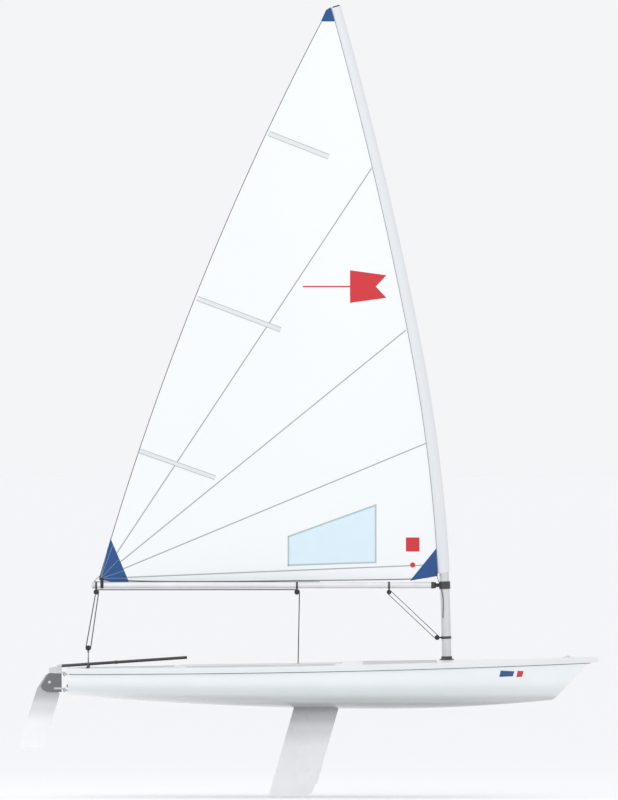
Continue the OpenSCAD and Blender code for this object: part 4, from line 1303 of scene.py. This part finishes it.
    def sleeve(self) -> None:
        """The luff sleeve: a smooth pocket round the mast that narrows to a tail at the cloth."""
        p = self.shape
        s = np.linspace(p.s_tack + 0.014, p.s_head - 0.002, 240)
        turn = np.linspace(0, 2 * np.pi, 44, endpoint=False)
        mast_r = np.interp(s, [2.39, 2.62], [0.038, 0.032])
        rings = []
        for extra, half in ((0.0030, p.sleeve_half(s) - 0.0004), (0.0012, p.sleeve_half(s) - 0.0022)):
            half = np.maximum(half, mast_r + extra)
            u = half[:, None] * np.cos(turn)[None, :]
            side = np.sin(turn)[None, :] * (mast_r + extra)[:, None]
            slope = np.maximum(p.s_tack + 0.014 + 0.3 * u, s[:, None])
            place = MAST.beside(slope, u)
            rings.append(np.stack([place[..., 0], side, place[..., 1]], -1))
        skin = np.concatenate([rings[0][::-1], rings[1]], 0)
        finish_piece(loft("luff_pocket", skin, (9.2, 0.24), sharp=50), SLEEVE_CLOTH, Body.RIG,
                     ("luff_sleeve",))
        edge = MAST.beside(s, -p.sleeve_half(s) - 0.002)
        path = p.on_sail(edge)
        finish_piece(sweep("luff_seam", path, 0.0024, 8), SAIL_TAPE, Body.RIG)

    def clew_band(self) -> None:
        """The webbing band that holds the clew down to the boom."""
        low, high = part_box("clew_strap")
        x, boom_z, r = (low[0] + high[0]) / 2, 0.883, 0.0272
        w = float(self.shape.belly(x, high[2] - 0.004)) - self.cloth / 2 - 0.0015
        turn = np.radians(np.linspace(-200, 20, 36))
        loop = np.stack([r * np.cos(turn), boom_z + r * np.sin(turn)], -1)
        top = np.array([[w + 0.0008, high[2] - 0.002], [w - 0.0008, high[2] - 0.002]])
        outer = np.concatenate([loop, top])
        centre = np.array([0, boom_z])
        inner = np.concatenate([centre + (loop - centre) * (0.0257 / r), top - [0, 0.0016]])
        xs = (x - 0.0125, x + 0.0125)
        rings = np.stack([np.column_stack([np.full(len(o), xx), o]) for xx, o in
                          ((xs[0], outer), (xs[1], outer), (xs[1], inner), (xs[0], inner), (xs[0], outer))])
        finish_piece(loft("clew_band", rings, (0.1, 0.2), capped=False, sharp=40), BLACK_WEBBING, Body.RIG,
                     ("clew_strap",))

    def build(self) -> None:
        """Builds every piece of the sail."""
        self.panel()
        self.window_pane()
        self.seams()
        self.corners()
        self.battens()
        self.marks()
        self.sleeve()
        self.clew_band()


# ---------- ropes ----------
@dataclass
class Rigging:
    """The running rigging: mainsheet, vang, outhaul and downhaul."""

    radius: float = 0.004
    traveller_x: float = -1.945
    boom_end_x: float = -1.8825
    middle_x: float = -0.283
    vang_sheave: float = 0.016
    vang_radius: float = 0.0028

    def rope(self, name: str, path: Array, body: Body | None,
             radius: float | Array | None = None) -> bpy.types.Object:
        """A rope along a path, riding on a body or left on no body.

        Args:
            name: the piece's name.
            path: points by x, y, z, in metres.
            body: the body that it rides on, or None to leave it on no body.
            radius: its radius, or None for the mainsheet's.

        Returns:
            The new piece.
        """
        bar = sweep(name, path, self.radius if radius is None else radius, 10)
        return finish_piece(bar, DARK_ROPE, body)

    def sheet_falls(self) -> None:
        """The mainsheet's two parts between the boom's end and the traveller block."""
        tr, be = self.traveller_x, self.boom_end_x
        fore = straight((tr + 0.019, 0, 0.384), (be + 0.020, 0, 0.828), 60)
        aft = straight((tr - 0.019, 0, 0.384), (be - 0.006, 0, 0.806), 60)
        for name, path in (("sheet_fall_fore", fore), ("sheet_fall_aft", aft)):
            piece = self.rope(name, path, None)
            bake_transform(piece)
        turn = np.radians(np.linspace(0, -180, 24))
        low = np.stack([tr + 0.019 * np.cos(turn), 0 * turn, 0.384 + 0.019 * np.sin(turn)], -1)
        self.rope("sheet_round_traveller", low, Body.HULL)

    def sheet_along_boom(self) -> None:
        """The mainsheet over the end block, forward under the boom and over the middle block."""
        be, bm = self.boom_end_x, self.middle_x
        turn = np.radians(np.linspace(0, 90, 14))
        over_end = np.stack([be + 0.020 * np.cos(turn), 0 * turn, 0.828 + 0.018 * np.sin(turn)], -1)
        run = straight((be + 0.02, 0, 0.8465), (bm - 0.01, 0, 0.8475), 60)
        turn = np.radians(np.linspace(90, 0, 14))
        over_mid = np.stack([bm + 0.020 * np.cos(turn), 0 * turn, 0.828 + 0.0195 * np.sin(turn)], -1)
        self.rope("sheet_along_boom", np.concatenate([over_end, run, over_mid]), Body.RIG)
        down = straight((bm + 0.020, 0, 0.826), (-0.2755, 0, 0.166), 70)
        piece = self.rope("sheet_to_ratchet", down, None)
        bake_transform(piece)

    def sheet_tail(self) -> None:
        """The mainsheet round the ratchet block, lying in the cockpit and knotted at its end."""
        turn = np.radians(np.linspace(0, -150, 24))
        wound = np.stack([-0.2985 + 0.023 * np.cos(turn), 0 * turn, 0.162 + 0.023 * np.sin(turn)], -1)
        tail = smooth_path([tuple(wound[-1]), (-0.345, 0.010, 0.152), (-0.39, 0.05, 0.085),
                            (-0.43, 0.10, 0.0595), (-0.52, 0.155, 0.0595), (-0.66, 0.165, 0.0595),
                            (-0.80, 0.13, 0.0595), (-0.86, 0.10, 0.0595)], 160)
        self.rope("sheet_tail", np.concatenate([wound, tail[1:]]), Body.HULL)
        knot = straight((-0.852, 0.104, 0.0635), (-0.872, 0.094, 0.0635), 9)
        bulge = 0.0078 * np.sqrt(1 - np.linspace(-0.92, 0.92, 9) ** 2)
        self.rope("sheet_knot", knot, Body.HULL, bulge)

    def vang(self) -> None:
        """Two parts of line between the mast's block and the boom's."""
        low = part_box("vang_mast_block")[0]
        boom_low, boom_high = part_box("vang_boom_block")
        bx = (boom_low[0] + boom_high[0]) / 2
        a = np.array([low[0] + 0.020, 0.0, 0.466])
        b = np.array([bx, 0.0, 0.828])
        way = (b - a) / np.linalg.norm(b - a)
        side = np.array([-way[2], 0, way[0]])
        for k, sign in enumerate((-1, 1)):
            out = sign * self.vang_sheave * side
            path = straight(tuple(a + out), tuple(b + out), 12)
            self.rope(f"vang_line_{k}", path, Body.RIG, self.vang_radius)
        turn = np.linspace(0, np.pi, 18)[:, None]
        for name, centre, sign in (("vang_round_boom_block", b, 1), ("vang_round_mast_block", a, -1)):
            arc = centre + self.vang_sheave * (np.cos(turn) * side + sign * np.sin(turn) * way)
            self.rope(name, arc, Body.RIG, self.vang_radius)

    def small_lines(self) -> None:
        """The outhaul from the clew to the boom's end and the downhaul from the tack."""
        clew = SAIL.clew
        x = float(clew[0]) + 0.012
        z = float(clew[1]) + 0.022
        y = float(SAIL.belly(x, z))
        out = smooth_path([(x, y - 0.003, z), (x - 0.012, y * 0.6, z - 0.004), (-1.899, 0.0, 0.9115)], 20)
        self.rope("outhaul", out, Body.RIG, 0.0024)
        along = straight((-1.899, 0.0, 0.9108), (-0.10, 0.0, 0.9108), 40)
        self.rope("outhaul_on_boom", along, Body.RIG, 0.0020)
        tack = MAST.beside(SAIL.s_tack + 0.030, -0.062)
        foot = MAST.beside(0.60, -0.0395)
        ty = float(SAIL.belly(tack[0], tack[1]))
        down = smooth_path([(float(tack[0]), ty - 0.003, float(tack[1])),
                            (float(tack[0]) - 0.002, -0.031, 0.985),
                            (float(foot[0]) + 0.012, -0.0385, 0.80),
                            (float(foot[0]) + 0.014, -0.0385, 0.62)], 40)
        self.rope("downhaul", down, Body.RIG, 0.0026)

    def traveller(self) -> None:
        """The traveller's rope through both fairleads and over the block, knotted at each end."""
        z = float(LINES.deck(np.float64(-1.945), np.float64(0.440))) + 0.0112
        y = np.linspace(0.464, -0.464, 160)
        height = np.interp(-np.abs(y), [-0.464, -0.431, -0.012, 0], [z, z, 0.3516, 0.352])
        path = np.stack([np.full(160, self.traveller_x), y, height], -1)
        finish_piece(sweep("traveller_rope", path, 0.003, 10, (1, 0, 0)), DARK_ROPE, Body.HULL,
                     ("traveller_line",))
        for sign, tail in ((-1, "starboard"), (1, "port")):
            knot = straight((self.traveller_x, sign * 0.4475, z), (self.traveller_x, sign * 0.4605, z), 9)
            bulge = 0.0066 * np.sqrt(1 - np.linspace(-0.9, 0.9, 9) ** 2)
            finish_piece(sweep("traveller_knot_" + tail, knot, bulge, 12, (1, 0, 0)), DARK_ROPE, Body.HULL)

    def build(self) -> None:
        """Builds every rope."""
        self.sheet_falls()
        self.sheet_along_boom()
        self.sheet_tail()
        self.vang()
        self.small_lines()
        self.traveller()


# ---------- steering grip and fittings ----------
@dataclass
class TillerGrip:
    """The grip on the tiller extension, which the frame lacks."""

    def build(self) -> None:
        """A foam grip with turned grooves on the forward end of the tiller extension."""
        low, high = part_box("tiller_extension")
        a = np.array([low[0], low[1] + 0.008, low[2] + 0.008])
        b = np.array([high[0], low[1] + 0.008, high[2] - 0.008])
        length = float(np.linalg.norm(b - a))
        t = np.linspace(0.002, 0.24 / length, 120)
        path = a + t[:, None] * (b - a)
        radius = 0.0098 + 0.0006 * np.sin(np.linspace(0, 40 * np.pi, 120))
        finish_piece(sweep("extension_grip", path, radius, 20), GRIP_FOAM, Body.RUDDER)


@dataclass
class Fittings:
    """The frame's own nodes that stay, each with its material."""

    finishes: dict[str, Finish] = field(default_factory=lambda: {
        "cockpit_tub": DECK_GLOSS, "mast_step_ring": BLACK_PLASTIC, "bow_eye": STEEL, "gudgeon_upper": STEEL,
        "gudgeon_lower": STEEL, "fairlead_port": BLACK_PLASTIC, "fairlead_starboard": BLACK_PLASTIC,
        "traveller_block": BLACK_PLASTIC, "ratchet_block": BLACK_PLASTIC, "strap_plate": STEEL,
        "transom_bung": BLACK_PLASTIC, "cockpit_drain": BLACK_PLASTIC, "mast_foot": BLACK_PLASTIC,
        "mast_lower": MAST_ALLOY, "mast_upper": MAST_ALLOY, "mast_joint_collar": BLACK_PLASTIC,
        "mast_collar": BLACK_PLASTIC, "mast_head_cap": BLACK_PLASTIC, "gooseneck": BLACK_PLASTIC,
        "boom": BOOM_ALLOY, "boom_cap_forward": BLACK_PLASTIC, "boom_cap_aft": GREY_CASTING,
        "boom_end_block": BLACK_PLASTIC, "boom_middle_block": BLACK_PLASTIC, "vang_boom_block": BLACK_PLASTIC,
        "vang_mast_block": BLACK_PLASTIC, "rudder_head": DARK_ALLOY, "pintle_upper": STEEL,
        "pintle_lower": STEEL, "tiller_socket": GREY_CASTING, "pivot_bolt": STEEL, "tiller": BLACK_ALLOY,
        "tiller_universal": RUBBER, "tiller_extension": BLACK_ALLOY, "extension_clip": BLACK_PLASTIC,
        "board_handle": BLACK_PLASTIC})

    @staticmethod
    def assign(name: str, mat: bpy.types.Material) -> None:
        """Puts a material in every slot of one of the frame's nodes.

        Args:
            name: the node's name.
            mat: its material.
        """
        node = frame["nodes"][name]
        if not node.material_slots:
            node.data.materials.append(None)
        for place in node.material_slots:
            place.link = "OBJECT"
            place.material = mat
        LOG.info("%s: the frame's own shape", name)

    def build(self) -> None:
        """Dresses every node that stays."""
        for name, finish in self.finishes.items():
            self.assign(name, SHOP.material(finish))
        # Painted shade: the rudder blade and the daggerboard darken towards their tops, where the hull shades
        # them.
        self.assign("rudder_blade", SHOP.shade_by_height(
            BLADE_GLOSS, "rudder_gloss_shaded", [(0.0, 1.0), (0.45, 0.97), (0.75, 0.76), (1.0, 0.50)],
            (-0.42, 0.03)))
        self.assign("daggerboard", SHOP.shade_by_height(
            BLADE_GLOSS, "board_gloss_shaded",
            [(0.0, 1.0), (0.55, 1.0), (0.78, 0.86), (0.91, 0.64), (1.0, 0.46)], (-0.80, -0.10)))


# ---------- studio ----------
@dataclass
class Studio:
    """The floor, the lights and the camera."""

    floor_z: float = -0.805
    floor_reach: float = 900.0
    lens: float = 1200.0
    sensor: float = 36.0
    camera_place: tuple[float, float, float] = (-0.187, -212.4, 2.358)

    def floor(self) -> None:
        """A wide pale floor below the boat."""
        side = np.array([-self.floor_reach, self.floor_reach])
        x, y = np.meshgrid(side, side, indexing="ij")
        points = np.stack([x.ravel(), y.ravel(), np.full(4, self.floor_z)], -1)
        piece = make_mesh("studio_floor", points, [np.array([[0, 2, 3, 1]])], smooth=False)
        mat = bpy.data.materials.new("studio_white")
        mat.use_nodes = True
        shader = mat.node_tree.nodes["Principled BSDF"]
        shader.inputs["Base Color"].default_value = (0.88, 0.88, 0.885, 1)
        shader.inputs["Roughness"].default_value = 0.9
        shader.inputs["Specular IOR Level"].default_value = 0.1
        shader.inputs["Emission Color"].default_value = (0.98, 0.99, 1.0, 1)
        shader.inputs["Emission Strength"].default_value = 0.109
        piece.data.materials.append(mat)

    @staticmethod
    def lamp(name: str, place: tuple[float, float, float], aim: tuple[float, float, float], size: float,
             power: float) -> None:
        """A square soft light aimed at a point.

        Args:
            name: the lamp's name.
            place: where it stands.
            aim: the point that it faces.
            size: the side of its square, in metres.
            power: its power, in watts.
        """
        data = bpy.data.lights.new(name, "AREA")
        data.size = size
        data.energy = power
        lamp = bpy.data.objects.new(name, data)
        bpy.context.scene.collection.objects.link(lamp)
        lamp.location = place
        lamp.rotation_euler = (Vector(aim) - Vector(place)).to_track_quat("-Z", "Y").to_euler()

    def camera(self) -> None:
        """A long lens far off to starboard, level with the middle of the boat."""
        data = bpy.data.cameras.new("camera")
        data.lens = self.lens
        data.sensor_width = self.sensor
        data.clip_end = 1200
        camera = bpy.data.objects.new("camera", data)
        camera.location = self.camera_place
        camera.rotation_euler = (math.pi / 2, 0, 0)
        bpy.context.scene.collection.objects.link(camera)
        bpy.context.scene.camera = camera

    def build(self) -> None:
        """Sets up the studio."""
        self.floor()
        self.lamp("key", (-5.5, -9.0, 8.5), (0, 0, 1.6), 7.0, 250)
        self.lamp("fill", (8.0, -10.0, 3.0), (0, 0, 1.6), 8.0, 50)
        self.lamp("top", (0.0, 1.5, 11.0), (0, 0, 0), 8.0, 60)
        world = bpy.data.worlds.new("studio_world")
        world.use_nodes = True
        ground = world.node_tree.nodes["Background"]
        ground.inputs["Color"].default_value = (0.97, 0.98, 1.0, 1)
        ground.inputs["Strength"].default_value = 0.93
        scene = bpy.context.scene
        scene.world = world
        scene.view_settings.view_transform = "Standard"
        scene.view_settings.look = "None"
        self.camera()


def main() -> None:
    """Builds the boat's looks in order."""
    logging.basicConfig(level=logging.INFO, format="%(message)s")
    for part in (HullAssembly(), SailAssembly(), Rigging(), TillerGrip(), Fittings(), Studio()):
        LOG.info("== %s", type(part).__name__)
        part.build()


if __name__ == "__main__":
    main()
